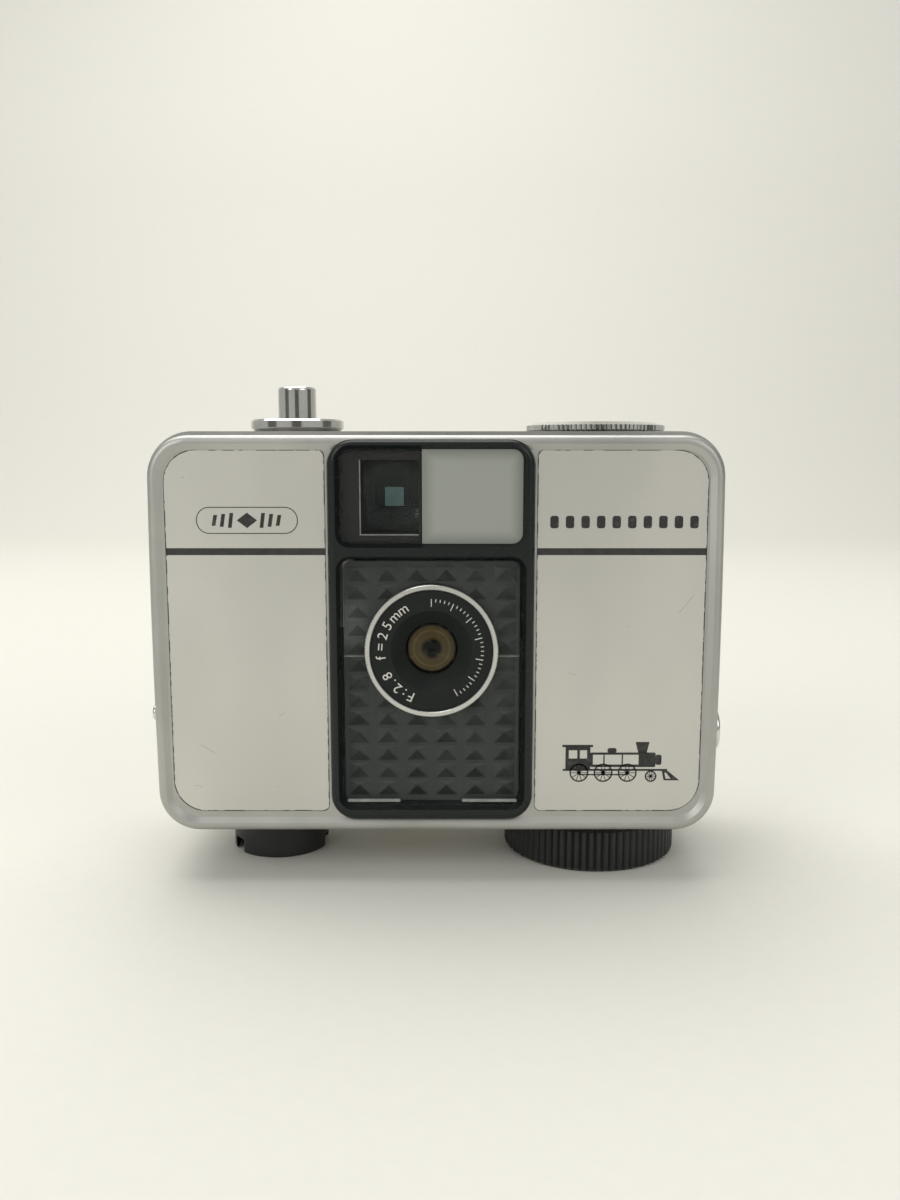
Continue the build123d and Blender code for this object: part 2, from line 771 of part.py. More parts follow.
def mainspring():
    """Flat spiral spring, hooked on the arbor at its inner end and on the drum at its outer."""
    start = arbor_radius + 0.1
    end = spool_radius - spool_wall - 0.1 - spring_strip
    steps = spring_turns * 16
    inner, outer = [], []
    for i in range(steps + 1):
        angle = 2 * math.pi * spring_turns * i / steps
        r = start + (end - start) * i / steps
        inner.append((r * math.cos(angle), r * math.sin(angle)))
        outer.append(((r + spring_strip) * math.cos(angle), (r + spring_strip) * math.sin(angle)))
    edges = [Spline(*inner), Line(inner[-1], outer[-1]), Spline(*reversed(outer)), Line(outer[0], inner[0])]
    strip = disc_z(make_face(edges), lens_z - spring_height / 2, lens_z + spring_height / 2)
    return Pos(spool_x, axis_y, 0) * strip


def winding_knob():
    """Large fluted knob under the body that winds the spring."""
    body = disc_z(ribbed_disc(knob_radius, knob_ribs, rib_depth), 0, knob_top)
    for z, direction in ((0, 1), (knob_top, -1)):
        flat = knob_radius - knob_chamfer
        cone = turned_z([(0, z), (flat, z), (knob_radius + 0.5, z + direction * (knob_chamfer + 0.5)),
                         (knob_radius + 0.5, z + direction * knob_top / 2),
                         (0, z + direction * knob_top / 2)],
                        0, 0)
        half = (z, z + direction * knob_top / 2)
        keep = block((-2 * knob_radius, 2 * knob_radius), (-2 * knob_radius, 2 * knob_radius),
                     (0, knob_top)) - post(0, 0, 2 * knob_radius, (min(half), max(half)))
        body = body & (cone + keep)
    body -= turned_z([(0, -1), (knob_radius - 2.4, -1), (knob_radius - 2.4, 0.3), (0, 0.3)], 0, 0)
    body -= turned_z([(5.0, knob_top - 4.5), (11.0, knob_top - 4.5), (11.0, body_top),
                      (5.0, body_top)], 0, 0)
    body = Pos(spool_x, axis_y, 0) * body
    return body - winding_arbor()


# ---------------------------------------------------------------- rewind
def rewind_knob():
    """Smooth rewind knob with a channel for the crank and a finger slot across its face."""
    body = Pos(cassette_x, axis_y, 0) * fillet(
        disc_z(Circle(rewind_radius), 0, knob_top).edges().group_by(Axis.Z)[0], 0.5)
    half = crank_width / 2 + channel_clearance
    depth = crank_lift + crank_thickness + channel_clearance
    x = (cassette_x - slot_offset - slot_width / 2, cassette_x + rewind_radius + 1)
    body -= block(x, (axis_y - half, axis_y + half), (-1, depth))
    body -= block((x[0], x[0] + slot_width), (axis_y - 10, axis_y + 10), (-1, slot_depth))
    pocket = (0, depth + handle_length + channel_clearance)
    wide = handle_radius + channel_clearance + 0.2
    middle = cassette_x - handle_offset
    for shift in (0, handle_swing):
        body -= post(middle - shift, axis_y, wide, pocket)
    body -= block((middle - handle_swing, middle), (axis_y - wide, axis_y + wide), pocket)
    body -= crank_pin()
    return body - rewind_shaft()


def crank_pin():
    reach = crank_width / 2 + 2.0
    return Pos(cassette_x + crank_pivot, axis_y, crank_middle_z) * Rot(X=90) * Cylinder(0.4, 2 * reach)



def rewind_crank():
    """Folding crank lying in the knob, its handle pointing into the pocket."""
    y = (axis_y - crank_width / 2, axis_y + crank_width / 2)
    pivot_x = cassette_x + crank_pivot
    tip = cassette_x - slot_offset - 0.2
    z = (crank_lift, crank_lift + crank_thickness)
    plate = block((tip, pivot_x), y, z)
    end = Pos(pivot_x, axis_y, crank_middle_z) * Rot(X=90) * Cylinder(crank_thickness / 2, crank_width)
    handle = post(cassette_x - handle_offset, axis_y, handle_radius, (crank_lift, z[1] + handle_length))
    bore = Pos(pivot_x, axis_y, crank_middle_z) * Rot(X=90) * Cylinder(0.4 + slip, 2 * crank_width)
    return plate + end + handle - bore


def rewind_shaft():
    """Rewind shaft and the fork that turns the cassette's hub."""
    z = (knob_top - 1.5, chamber_floor_z + fork_reach)
    shaft = post(cassette_x, axis_y, rewind_shaft_radius, z)
    slot = block((cassette_x - 5, cassette_x + 5), (axis_y - 0.6, axis_y + 0.6),
                 (chamber_floor_z + 1.0, z[1] + 1))
    return shaft - slot


def release_button():
    """Small button beside the winding knob that frees the sprocket for rewinding."""
    body = post(release_x, release_y, release_radius, (body_bottom - release_stand, chamber_floor_z + 1.2))
    return body + post(release_x, release_y, release_radius + 0.7,
                       (chamber_floor_z + slip, chamber_floor_z + 0.8))


# ---------------------------------------------------------------- lens and shutter
def dome(half, sag):
    """Height of a shallow dome at half its radius."""
    curve = (half ** 2 + sag ** 2) / (2 * sag)
    return curve - math.sqrt(curve ** 2 - half ** 2 / 4)


def lens_element(front, back, front_sag, back_sag):
    """Round glass along Y; a positive sag bulges outwards at that face."""
    r = glass_radius
    front_mid = math.copysign(dome(r, abs(front_sag)), front_sag)
    back_mid = math.copysign(dome(r, abs(back_sag)), back_sag)
    profile = make_face([
        ThreePointArc((0, front), (r / 2, front + front_mid), (r, front + front_sag)),
        Line((r, front + front_sag), (r, back - back_sag)),
        ThreePointArc((r, back - back_sag), (r / 2, back - back_mid), (0, back)),
        Line((0, back), (0, front)),
    ])
    return Pos(lens_x, 0, lens_z) * revolve(profile, Axis.Y)



def lens_ring():
    return turned([
        (ring_inner, ring_front_y + ring_bevel), (ring_inner + ring_bevel, ring_front_y),
        (ring_radius - ring_bevel, ring_front_y), (ring_radius, ring_front_y + ring_bevel),
        (ring_radius, ring_back_y), (ring_inner, ring_back_y),
    ], lens_x, lens_z)


def name_ring():
    """Black ring with a flat face outside and a cone running down to the glass."""
    outer = ring_inner - slip
    flat = outer - name_flat
    throat = glass_radius + 0.1
    return turned([
        (outer, name_front_y), (flat, name_front_y), (throat, name_back_y - 0.4),
        (throat, name_back_y), (outer, name_back_y),
    ], lens_x, lens_z)


def lens_barrel():
    body = rod(lens_x, lens_z, glass_radius + barrel_wall, (name_back_y + slip, housing_front_y - slip))
    body -= rod(lens_x, lens_z, glass_radius + slip, (front_y, housing_front_y))
    return body


def shutter_housing():
    body = rod(lens_x, lens_z, housing_radius, (housing_front_y, housing_back_y))
    body -= rod(lens_x, lens_z, housing_radius - housing_wall, (housing_front_y + 0.6, back_y))
    return body - rod(lens_x, lens_z, stop_radius, (front_y, 0))


def shutter_cover():
    radius = housing_radius - housing_wall - slip
    body = rod(lens_x, lens_z, radius, (housing_back_y - 0.6, housing_back_y))
    return body - rod(lens_x, lens_z, stop_radius + 0.2, (front_y, 0))


def leaf(side, end, front, notch):
    """Shutter or aperture leaf on side -1 or 1, hung from its pivot above (1) or below (-1)."""
    radius = stop_radius + blade_margin
    shape = Circle(radius) & Pos(side * (2 * radius - blade_overlap), 0) * Rectangle(4 * radius, 4 * radius)
    pivot = (side * blade_pivot_x, end * blade_pivot_z)
    head = 0.9
    tail = make_face(Polyline((side * 0.3, end * 2.0), (side * (pivot[0] * side - head), pivot[1]),
                              (side * (pivot[0] * side + head), pivot[1]), (side * 3.6, end * 2.0),
                              close=True))
    shape = shape + tail + Pos(*pivot) * Circle(head)
    if notch:
        shape -= Circle(notch)
    plate = slab(Pos(lens_x, lens_z) * shape, front, front + blade_thickness)
    pin_y = (housing_front_y + 0.6 + slip, housing_back_y - 0.6 - slip)
    return plate + rod(lens_x + pivot[0], lens_z + pivot[1], pivot_radius, pin_y)


# ---------------------------------------------------------------- top controls
def button_collar():
    """Chrome collar with an undercut rim, and the bush that guides the button."""
    top = body_top + collar_height
    bore = button_radius + slip
    low = body_top - bush_depth
    return turned_z([
        (bore, top), (collar_radius - 0.3, top), (collar_radius, top - 0.3),
        (collar_radius, top - collar_rim), (collar_radius - collar_bevel, body_top),
        (bush_radius, body_top), (bush_radius, low), (stem_radius + slip, low),
        (stem_radius + slip, low + bush_floor), (bore, low + bush_floor),
    ], button_x, axis_y)



def shutter_button():
    """Plain round button on its stem, with a tapered socket for a cable release in the top."""
    top = body_top + button_top
    head = turned_z([
        (0, button_low), (button_radius, button_low), (button_radius, top), (0, top),
    ], button_x, axis_y)
    head = fillet(head.edges().group_by(Axis.Z)[-1], button_round)
    stem = post(button_x, axis_y, stem_radius, (arm_z, button_low))
    socket = turned_z([
        (0, top - cable_hole_depth), (cable_hole_radius * 0.8, top - cable_hole_depth),
        (cable_hole_radius, top + 1), (0, top + 1),
    ], button_x, axis_y)
    return head + stem - socket


def release_rod():
    """Arm on the button's stem, and the leg that reaches down to the shutter."""
    leg_right = finder_x - finder_width / 2 - finder_wall - 0.7
    leg_x = (leg_right - 1.5, leg_right)
    z = (arm_z, arm_z + arm_thickness)
    arm = make_face(Polyline(
        (button_x - 2.6, axis_y + 2.6), (button_x + 2.6, axis_y + 2.6),
        (leg_x[1], leg_y[1]), (leg_x[1], leg_y[0]), (leg_x[0] - 2, leg_y[0]),
        (button_x - 2.6, axis_y - 3), close=True))
    body = disc_z(arm, *z) + block(leg_x, leg_y, (lens_z + 3, z[1]))
    return body - post(button_x, axis_y, stem_radius + slip, (0, body_top))


def button_spring():
    low = body_top - bush_depth + bush_floor + 0.05
    wire = 0.22
    height = button_low - low - 2 * wire - 0.05
    path = Helix(height / 4, height, stem_radius + 0.8)
    start = path @ 0
    section = Plane(origin=start, z_dir=path % 0) * Circle(wire)
    return Pos(button_x, axis_y, low + wire) * sweep(section, path=path)


def aperture_dial():
    """Wide low dial with a fluted edge, on the shaft of the aperture cam."""
    low = body_top + dial_lift
    top = low + dial_height
    body = disc_z(ribbed_disc(dial_radius, dial_flutes, dial_flute_depth), low, top)
    bowl = turned_z([
        (0, low), (dial_radius - 0.2, low), (dial_radius + 0.3, low + 0.3),
        (dial_radius + 0.3, low + dial_edge), (dial_plateau, top), (0, top),
    ], 0, 0)
    body = Pos(spool_x, axis_y, 0) * (body & bowl)
    return body + post(spool_x, axis_y, dial_shaft_radius, (deck_top + 1.2, low + 0.01))


def aperture_cam():
    z = (deck_top + 1.4, deck_top + 2.2)
    body = Pos(cam_offset, 0, 0) * post(spool_x, axis_y, cam_radius, z)
    return body - post(spool_x, axis_y, dial_shaft_radius + slip, (0, body_top))


# ---------------------------------------------------------------- viewfinder
def frame_in(span, x, inset, y):
    """A rectangular ring between y values: outer size from x and span, wall given by inset."""
    outer = block(x, y, span)
    inner = block((x[0] + inset, x[1] - inset), y, (span[0] + inset, span[1] - inset))
    return outer - inner



def finder_tunnel():
    """Front mask, wide front tunnel and narrow rear tunnel of the viewfinder."""
    plate = slab(opening(finder_span, -panel_ledge - slip), ledge_y, panel_back_y + slip)
    mask = plate & block((-half_width, split_x), mask_y, finder_span)
    neck = plate & block((finder_outer_x[0], split_x), (ledge_y + 0.1, panel_back_y + slip), finder_span)
    front = block(finder_outer_x, (panel_back_y + slip, finder_step_y), finder_outer_z)
    x, _, z = eyepiece_box(0)
    rear = block(x, (finder_step_y - 0.1, door_inside_y - 2.0), z)
    body = mask + neck + front + rear
    body -= block((finder_inner_x[0], split_x - finder_wall / 2), (front_y, finder_step_y - 0.8),
                  (finder_z_span[0] + 0.2, finder_z_span[1] - 0.2))
    return body - block((x[0] + finder_wall, x[1] - finder_wall), (finder_step_y - 1, back_y),
                        (z[0] + finder_wall, z[1] - finder_wall))


def finder_objective():
    """Weak negative glass at the narrow end of the front tunnel."""
    y = (finder_step_y - 2.4, finder_step_y - 0.9)
    x = (finder_inner_x[0] + slip, split_x - finder_wall / 2 - slip)
    z = (finder_z_span[0] + 0.5, finder_z_span[1] - 0.5)
    curve = 16.0
    ball = Pos((x[0] + x[1]) / 2, y[0] - curve + 0.9, finder_z) * Sphere(curve)
    return block(x, y, z) - ball


def eyepiece_frame():
    x, _, z = eyepiece_box(0)
    y = (door_inside_y - 1.9, back_y)
    body = fillet(frame_in(z, x, eyepiece_rim, y).edges().group_by(Axis.Y)[-1], 0.3)
    return body


def eyepiece_lens():
    x, _, z = eyepiece_box(-eyepiece_rim - slip)
    return block(x, (door_inside_y - 0.5, door_inside_y + 0.9), z)


# ---------------------------------------------------------------- meter, sockets, latch, springs


def meter_housing():
    body = rod(lens_x, meter_z, meter_radius, meter_y)
    return fillet(body.edges().group_by(Axis.Y)[0], 0.5)


def meter_needle():
    y = (meter_y[0] - 0.6, meter_y[0] - 0.1)
    hub = rod(lens_x, meter_z, 1.0, y)
    arm = block((lens_x - 0.2, lens_x + 0.2), (y[0], y[0] + 0.2), (meter_z - 2.5, meter_z + needle_length))
    return hub + arm


def tripod_socket():
    body = post(tripod_x, tripod_y, tripod_radius, (body_bottom, body_bottom + tripod_depth))
    body += post(tripod_x, tripod_y, tripod_radius + 0.6,
                 (chamber_floor_z + slip, body_bottom + tripod_depth))
    return body - post(tripod_x, tripod_y, tripod_bore, (0, body_bottom + tripod_depth - 0.8))



def flash_socket():
    body = stud(socket_y, socket_z, socket_neck, (socket_root_x, half_width + 0.2))
    rim = stud(socket_y, socket_z, socket_radius, (half_width, socket_face_x))
    rim = fillet(rim.edges().group_by(Axis.X)[-1], 0.5)
    return body + rim - stud(socket_y, socket_z, socket_bore + 0.5, (socket_root_x, socket_face_x))


def socket_insulator():
    outer = stud(socket_y, socket_z, socket_bore + 0.5, (socket_root_x, socket_face_x - 0.5))
    return outer - stud(socket_y, socket_z, socket_bore, (socket_root_x + 0.8, socket_face_x))


def socket_contact():
    return stud(socket_y, socket_z, contact_radius, (socket_root_x + 0.8, socket_face_x - 0.7))


def strap_lug():
    """Stud on the side with an eye for a wrist strap."""
    x = (-half_width - lug_reach, -half_width + shell_wall + 0.8)
    body = stud(lug_y, lug_z, lug_radius, x)
    body += stud(lug_y, lug_z, lug_radius + 0.8, (x[1] - 0.6, x[1]))
    body = fillet(body.edges().group_by(Axis.X)[0], 0.4)
    eye_x = -half_width - lug_reach / 2
    return body - post(eye_x, lug_y, lug_eye, (lug_z - 3, lug_z + 3))



def door_latch():
    """Thumb slide on the side, its neck in the slot and its nose in the door's catch."""
    z = (latch_z - latch_length / 2, latch_z + latch_length / 2)
    y = (latch_y - latch_width / 2, latch_y + latch_width / 2)
    outer = block((half_width + slip, half_width + 1.2), y, z)
    outer = fillet(outer.edges().group_by(Axis.X)[-1], 0.35)
    for i in range(5):
        middle = latch_z + (i - 2) * 1.1
        outer -= block((half_width + 0.9, half_width + 2), y, (middle - 0.25, middle + 0.25))
    neck_y = (latch_y - latch_slot / 2 + 0.1, latch_y + latch_slot / 2 - 0.1)
    neck = block((latch_inner_x[0], half_width + 0.3), neck_y,
                 (latch_z - latch_neck / 2, latch_z + latch_neck / 2))
    inner = block(latch_inner_x, (latch_y - 1.5, latch_y + 2.0), (latch_z - 4, latch_z + 4))
    nose = block((catch_x - 0.2, latch_inner_x[0] + 0.01), nose_y_span(0), (latch_z - 1.4, latch_z + 1.0))
    return outer + neck + inner + nose


def latch_spring():
    """Coil below the latch that pushes it back up."""
    wire = 0.18
    low = latch_z - 10.0
    height = 6.0 - 0.1 - 2 * wire
    path = Helix(height / 6, height, 0.45)
    section = Plane(origin=path @ 0, z_dir=path % 0) * Circle(wire)
    x = (latch_inner_x[0] + latch_inner_x[1]) / 2
    return Pos(x, latch_y, low + wire + 0.05) * sweep(section, path=path)


def latch_bracket():
    """Ledge inside the shell that carries the latch spring."""
    return block((latch_inner_x[0], half_width - shell_wall + 0.1), (latch_y - 1.5, latch_y + 1.5),
                 (latch_z - 11.0, latch_z - 10.0))



def pressure_plate():
    z = (lens_z - pressure_height / 2, lens_z + pressure_height / 2)
    body = fillet(block(pressure_x, pressure_y, z).edges().filter_by(Axis.Y), 1.2)
    return body - guide_studs(guide_radius + slip, (film_plane_y, door_y))


def guide_studs(radius, y):
    """Two rods that carry the pressure plate, or the holes they run in."""
    return [rod(lens_x + side * guide_spread, lens_z, radius, y) for side in (-1, 1)]


def pressure_spring():
    """Bowed leaf behind the pressure plate, drawn as it lies when the plate is pushed right back."""
    front = pressure_y[1] + pressure_travel + slip
    gap = door_inside_y - front - slip
    half = guide_spread - guide_radius - free
    strip = 0.3
    outer = ThreePointArc((-half, front + gap), (0, front), (half, front + gap))
    inner = ThreePointArc((-half + 1.2, front + gap), (0, front + strip), (half - 1.2, front + gap))
    face = make_face([outer, inner, Line(outer @ 0, inner @ 0), Line(outer @ 1, inner @ 1)])
    return Pos(lens_x, 0, 0) * disc_z(face, lens_z - 4, lens_z + 4)


def case_screws():
    screws = []
    for x, y in case_screw_places:
        head = post(x, y, screw_head, (body_bottom, body_bottom + screw_head_depth - slip))
        shank = post(x, y, screw_radius, (body_bottom + 0.3, chamber_floor_z - 0.1))
        cut = block((x - 3, x + 3), (y - 0.2, y + 0.2), (body_bottom - 1, body_bottom + 0.35))
        screws.append(head + shank - cut)
    return Compound(screws)


inner_frame = casting()
pieces = {
    "front_bezel": front_bezel(),
    "body_shell": body_shell() + latch_bracket(),
    "left_face_plate": face_plate(-1),
    "right_face_plate": face_plate(1),
    "centre_panel": centre_panel(),
    "window_pane": window_pane(),
    "cell_window": cell_window(),
    "selenium_cell": selenium_cell(),
    "back_door": back_door(),
    "hinge_pin": hinge_pin(),
    "light_seals": light_seals(),
    "chassis": inner_frame - gate_zone(slip),
    "film_gate": inner_frame & gate_zone(0),
    "sprocket": sprocket(),
    "counter_disc": counter_disc(),
    "counter_window": counter_window(),
    "take_up_spool": take_up_spool(),
    "winding_arbor": winding_arbor(),
    "mainspring": mainspring(),
    "winding_knob": winding_knob(),
    "rewind_knob": rewind_knob(),
    "crank_pin": crank_pin(),
    "rewind_crank": rewind_crank(),
    "rewind_shaft": rewind_shaft(),
    "release_button": release_button(),
    "front_element": lens_element(name_back_y - 0.3, name_back_y + 1.5, 0.55, 0.2),
    "middle_element": lens_element(name_back_y + 2.1, name_back_y + 2.9, -0.3, -0.3),
    "rear_element": lens_element(name_back_y + 3.4, name_back_y + 4.6, 0.25, 0.4),
    "lens_ring": lens_ring(),
    "name_ring": name_ring(),
    "lens_barrel": lens_barrel(),
    "shutter_housing": shutter_housing(),
    "shutter_cover": shutter_cover(),
    "shutter_leaf_left": leaf(-1, 1, housing_front_y + 1.0, 0),
    "shutter_leaf_right": leaf(1, 1, housing_front_y + 1.5, 0),
    "aperture_leaf_left": leaf(-1, -1, housing_front_y + 2.3, diaphragm_hole),
    "aperture_leaf_right": leaf(1, -1, housing_front_y + 2.8, diaphragm_hole),
    "button_collar": button_collar(),
    "shutter_button": shutter_button(),
    "release_rod": release_rod(),
    "button_spring": button_spring(),
    "aperture_dial": aperture_dial(),
    "aperture_cam": aperture_cam(),
    "finder_tunnel": finder_tunnel(),
    "frosted_window": frosted_window(),
    "finder_objective": finder_objective(),
    "eyepiece_frame": eyepiece_frame(),
    "eyepiece_lens": eyepiece_lens(),
    "meter_housing": meter_housing(),
    "meter_needle": meter_needle(),
    "tripod_socket": tripod_socket(),
    "flash_socket": flash_socket(),
    "socket_insulator": socket_insulator(),
    "socket_contact": socket_contact(),
    "strap_lug": strap_lug(),
    "door_latch": door_latch(),
    "latch_spring": latch_spring(),
    "pressure_plate": pressure_plate(),
    "pressure_spring": pressure_spring(),
    "case_screws": case_screws(),
}
for name, shape in pieces.items():
    save(name, shape)
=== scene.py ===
# %% [markdown]
# # A compact clockwork half frame camera
#
# The imported model holds every working piece at its real size. This script gives those pieces their
# finishes and adds what a machine drawing leaves out: prisms in the light cell, a knurl on the
# dial, pale chips on the rib ends of the winding knob, marks on the lens ring and printing on the
# face plates. The room round it is laid out in metres. Everything on the object is worked in
# millimetres and brought to metres by `MM`.

# %% Open the imported model
import math

import bmesh
import bpy
from mathutils import Matrix, Vector


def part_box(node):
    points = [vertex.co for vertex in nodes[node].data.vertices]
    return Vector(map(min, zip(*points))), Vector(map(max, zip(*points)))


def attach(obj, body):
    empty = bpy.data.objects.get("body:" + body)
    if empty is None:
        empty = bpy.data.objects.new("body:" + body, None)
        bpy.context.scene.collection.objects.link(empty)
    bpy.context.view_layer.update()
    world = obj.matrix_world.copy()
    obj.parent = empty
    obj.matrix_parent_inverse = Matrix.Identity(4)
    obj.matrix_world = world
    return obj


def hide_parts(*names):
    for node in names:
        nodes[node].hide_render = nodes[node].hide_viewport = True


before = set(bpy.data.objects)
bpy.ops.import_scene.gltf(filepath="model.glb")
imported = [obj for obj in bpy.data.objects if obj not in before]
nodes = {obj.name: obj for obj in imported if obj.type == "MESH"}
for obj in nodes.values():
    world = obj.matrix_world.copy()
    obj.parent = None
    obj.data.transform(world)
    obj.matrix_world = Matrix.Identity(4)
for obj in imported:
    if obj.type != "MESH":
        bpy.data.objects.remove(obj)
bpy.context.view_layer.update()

MM = 0.001
print("pieces in the model:", len(nodes))

# %% [markdown]
# Camera, floor and light come first, because every finish is judged under them. The object stands
# on plain card that sweeps up behind it, so that no horizon shows. The card is one extruded
# profile: flat, a quarter turn, then upright.

# %% Floor sweep
FLOOR_FRONT = -0.9
FLOOR_BACK = 0.62
SWEEP_RADIUS = 0.34
SWEEP_TOP = 1.5
SWEEP_HALF_WIDTH = 1.3
SWEEP_STEPS = 24


def sweep_card():
    """Plain card: a floor that curves up into a backdrop."""
    profile = [(FLOOR_FRONT, 0.0)]
    for i in range(SWEEP_STEPS + 1):
        angle = math.pi / 2 * i / SWEEP_STEPS
        profile.append((FLOOR_BACK + SWEEP_RADIUS * math.sin(angle),
                        SWEEP_RADIUS * (1 - math.cos(angle))))
    profile.append((FLOOR_BACK + SWEEP_RADIUS, SWEEP_TOP))
    mesh = bpy.data.meshes.new("card")
    points = [(x, y, z) for y, z in profile for x in (-SWEEP_HALF_WIDTH, SWEEP_HALF_WIDTH)]
    faces = [(2 * i, 2 * i + 1, 2 * i + 3, 2 * i + 2) for i in range(len(profile) - 1)]
    mesh.from_pydata(points, [], faces)
    for face in mesh.polygons:
        face.use_smooth = True
    card = bpy.data.objects.new("card", mesh)
    bpy.context.collection.objects.link(card)
    return card


card = sweep_card()
print("card faces:", len(card.data.polygons))

# %% [markdown]
# The viewer stands almost square to the front, a little above the lens and looking slightly down,
# close enough that the knobs below show their near edges.

# %% Camera
VIEW_PLACE = Vector((2.04, -171.6, 66.07)) * MM
VIEW_TILT = math.radians(82.0)
VIEW_LENS = 31.5


def viewer():
    """Camera for the main view."""
    data = bpy.data.cameras.new("viewer")
    data.lens = VIEW_LENS
    data.sensor_width = 36.0
    data.clip_start = 0.01
    camera = bpy.data.objects.new("viewer", data)
    camera.location = VIEW_PLACE
    camera.rotation_euler = (VIEW_TILT, 0.0, 0.0)
    bpy.context.collection.objects.link(camera)
    bpy.context.scene.camera = camera
    return camera


viewer()
bpy.context.scene.view_settings.view_transform = "Standard"

# %% [markdown]
# The light is a soft overcast room: a pale sky all round, one wide panel above and behind that
# lights the card, and two weaker ones in front that the metal mirrors as a gentle gradient.

# %% Lights
SKY_COLOUR = (0.93, 0.935, 0.89, 1.0)
SKY_STRENGTH = 0.50
LIGHTS = [("overhead", (-0.15, 0.25, 0.9), (0.0, 0.05, 0.0), 0.9, 7.6),
          ("front_left", (-0.75, -0.8, 0.55), (0.0, 0.0, 0.04), 0.6, 3.6),
          ("front_right", (0.7, -0.8, 0.6), (0.0, 0.0, 0.05), 0.6, 1.9)]
LIGHT_COLOUR = (1.0, 0.99, 0.95)
DARK_CARD = (0.10, 0.10, 0.10, 1.0)
FLAGS = [("flag_left", (-0.52, -0.32, 0.16), 0.26, 0.5), ("flag_right", (0.6, -0.05, 0.16), 0.3, 0.5),
         ("flag_behind", (0.05, -0.8, 0.12), 0.34, 0.3)]


def panel_light(name, place, target, size, power):
    """Square area light at place, facing target."""
    data = bpy.data.lights.new(name, "AREA")
    data.shape = "SQUARE"
    data.size = size
    data.energy = power
    data.color = LIGHT_COLOUR
    light = bpy.data.objects.new(name, data)
    light.location = place
    aim = Vector(target) - Vector(place)
    light.rotation_euler = aim.to_track_quat("-Z", "Y").to_euler()
    bpy.context.collection.objects.link(light)
    return light


def flag(name, place, width, height):
    """Dark card that only mirrors see: polished metal needs something dark to show its shape."""
    bpy.ops.mesh.primitive_plane_add(size=1.0, location=place)
    card = bpy.context.object
    card.name = name
    card.scale = (width, height, 1.0)
    card.rotation_euler = Vector((-place[0], -place[1], 0.0)).to_track_quat("Z", "Y").to_euler()
    card.visible_camera = False
    card.visible_diffuse = False
    card.visible_shadow = False
    card.data.materials.append(dark_card())


def dark_card():
    material = bpy.data.materials.new("dark_card")
    material.use_nodes = True
    shader = material.node_tree.nodes["Principled BSDF"]
    shader.inputs["Base Color"].default_value = DARK_CARD
    shader.inputs["Roughness"].default_value = 0.9
    return material


def sky():
    world = bpy.data.worlds.new("room")
    world.use_nodes = True
    background = world.node_tree.nodes["Background"]
    background.inputs["Color"].default_value = SKY_COLOUR
    background.inputs["Strength"].default_value = SKY_STRENGTH
    bpy.context.scene.world = world


sky()
for light in LIGHTS:
    panel_light(*light)
for card_flag in FLAGS:
    flag(*card_flag)
print("lights:", len(LIGHTS), "dark cards:", len(FLAGS))

# %% [markdown]
# Shader and geometry trees are written as sums. A `Wire` is the output of a node, and adding or
# multiplying wires adds the Math nodes, so `1 - mask * 0.3` reads as it does on paper. Every other
# node comes from `Tree.node`, which takes its settings and its inputs. `Finish` is a tree that
# makes one material.

# %% Wires and trees
class Wire:
    """The output socket of a node, with arithmetic."""

    def __init__(self, tree, socket):
        self.tree = tree
        self.socket = socket

    def math(self, operation, *others):
        return self.tree.node("ShaderNodeMath", {"operation": operation}, [self, *others])

    def __add__(self, other):
        return self.math("ADD", other)

    def __sub__(self, other):
        return self.math("SUBTRACT", other)

    def __rsub__(self, other):
        return self.tree.node("ShaderNodeMath", {"operation": "SUBTRACT"}, [other, self])

    def __mul__(self, other):
        return self.math("MULTIPLY", other)

    def __truediv__(self, other):
        return self.math("DIVIDE", other)

    __radd__ = __add__
    __rmul__ = __mul__

    def power(self, other):
        return self.math("POWER", other)

    def size(self):
        return self.math("ABSOLUTE")

    def least(self, other):
        return self.math("MINIMUM", other)

    def most(self, other):
        return self.math("MAXIMUM", other)

    def above(self, other):
        return self.math("GREATER_THAN", other)

    def ramp(self, low, high, to_low=0.0, to_high=1.0):
        """Smooth step: to_low at low and to_high at high."""
        return self.tree.node("ShaderNodeMapRange", {"interpolation_type": "SMOOTHSTEP"},
                              [self, low, high, to_low, to_high])


class Tree:
    """A node tree that is filled by calls."""

    def __init__(self, tree):
        self.tree = tree

    def node(self, kind, settings, inputs, output=0):
        """Adds a node: settings first, then its inputs as links or values."""
        node = self.tree.nodes.new(kind)
        for key, value in settings.items():
            setattr(node, key, value)
        pairs = inputs.items() if isinstance(inputs, dict) else enumerate(inputs)
        for key, value in pairs:
            self.feed(node.inputs[key], value)
        return Wire(self, node.outputs[output])

    def feed(self, socket, value):
        if isinstance(value, Wire):
            self.tree.links.new(value.socket, socket)
        else:
            socket.default_value = value

    def split(self, vector):
        """The three parts of a vector."""
        first = self.node("ShaderNodeSeparateXYZ", {}, [vector])
        return [Wire(self, out) for out in first.socket.node.outputs]


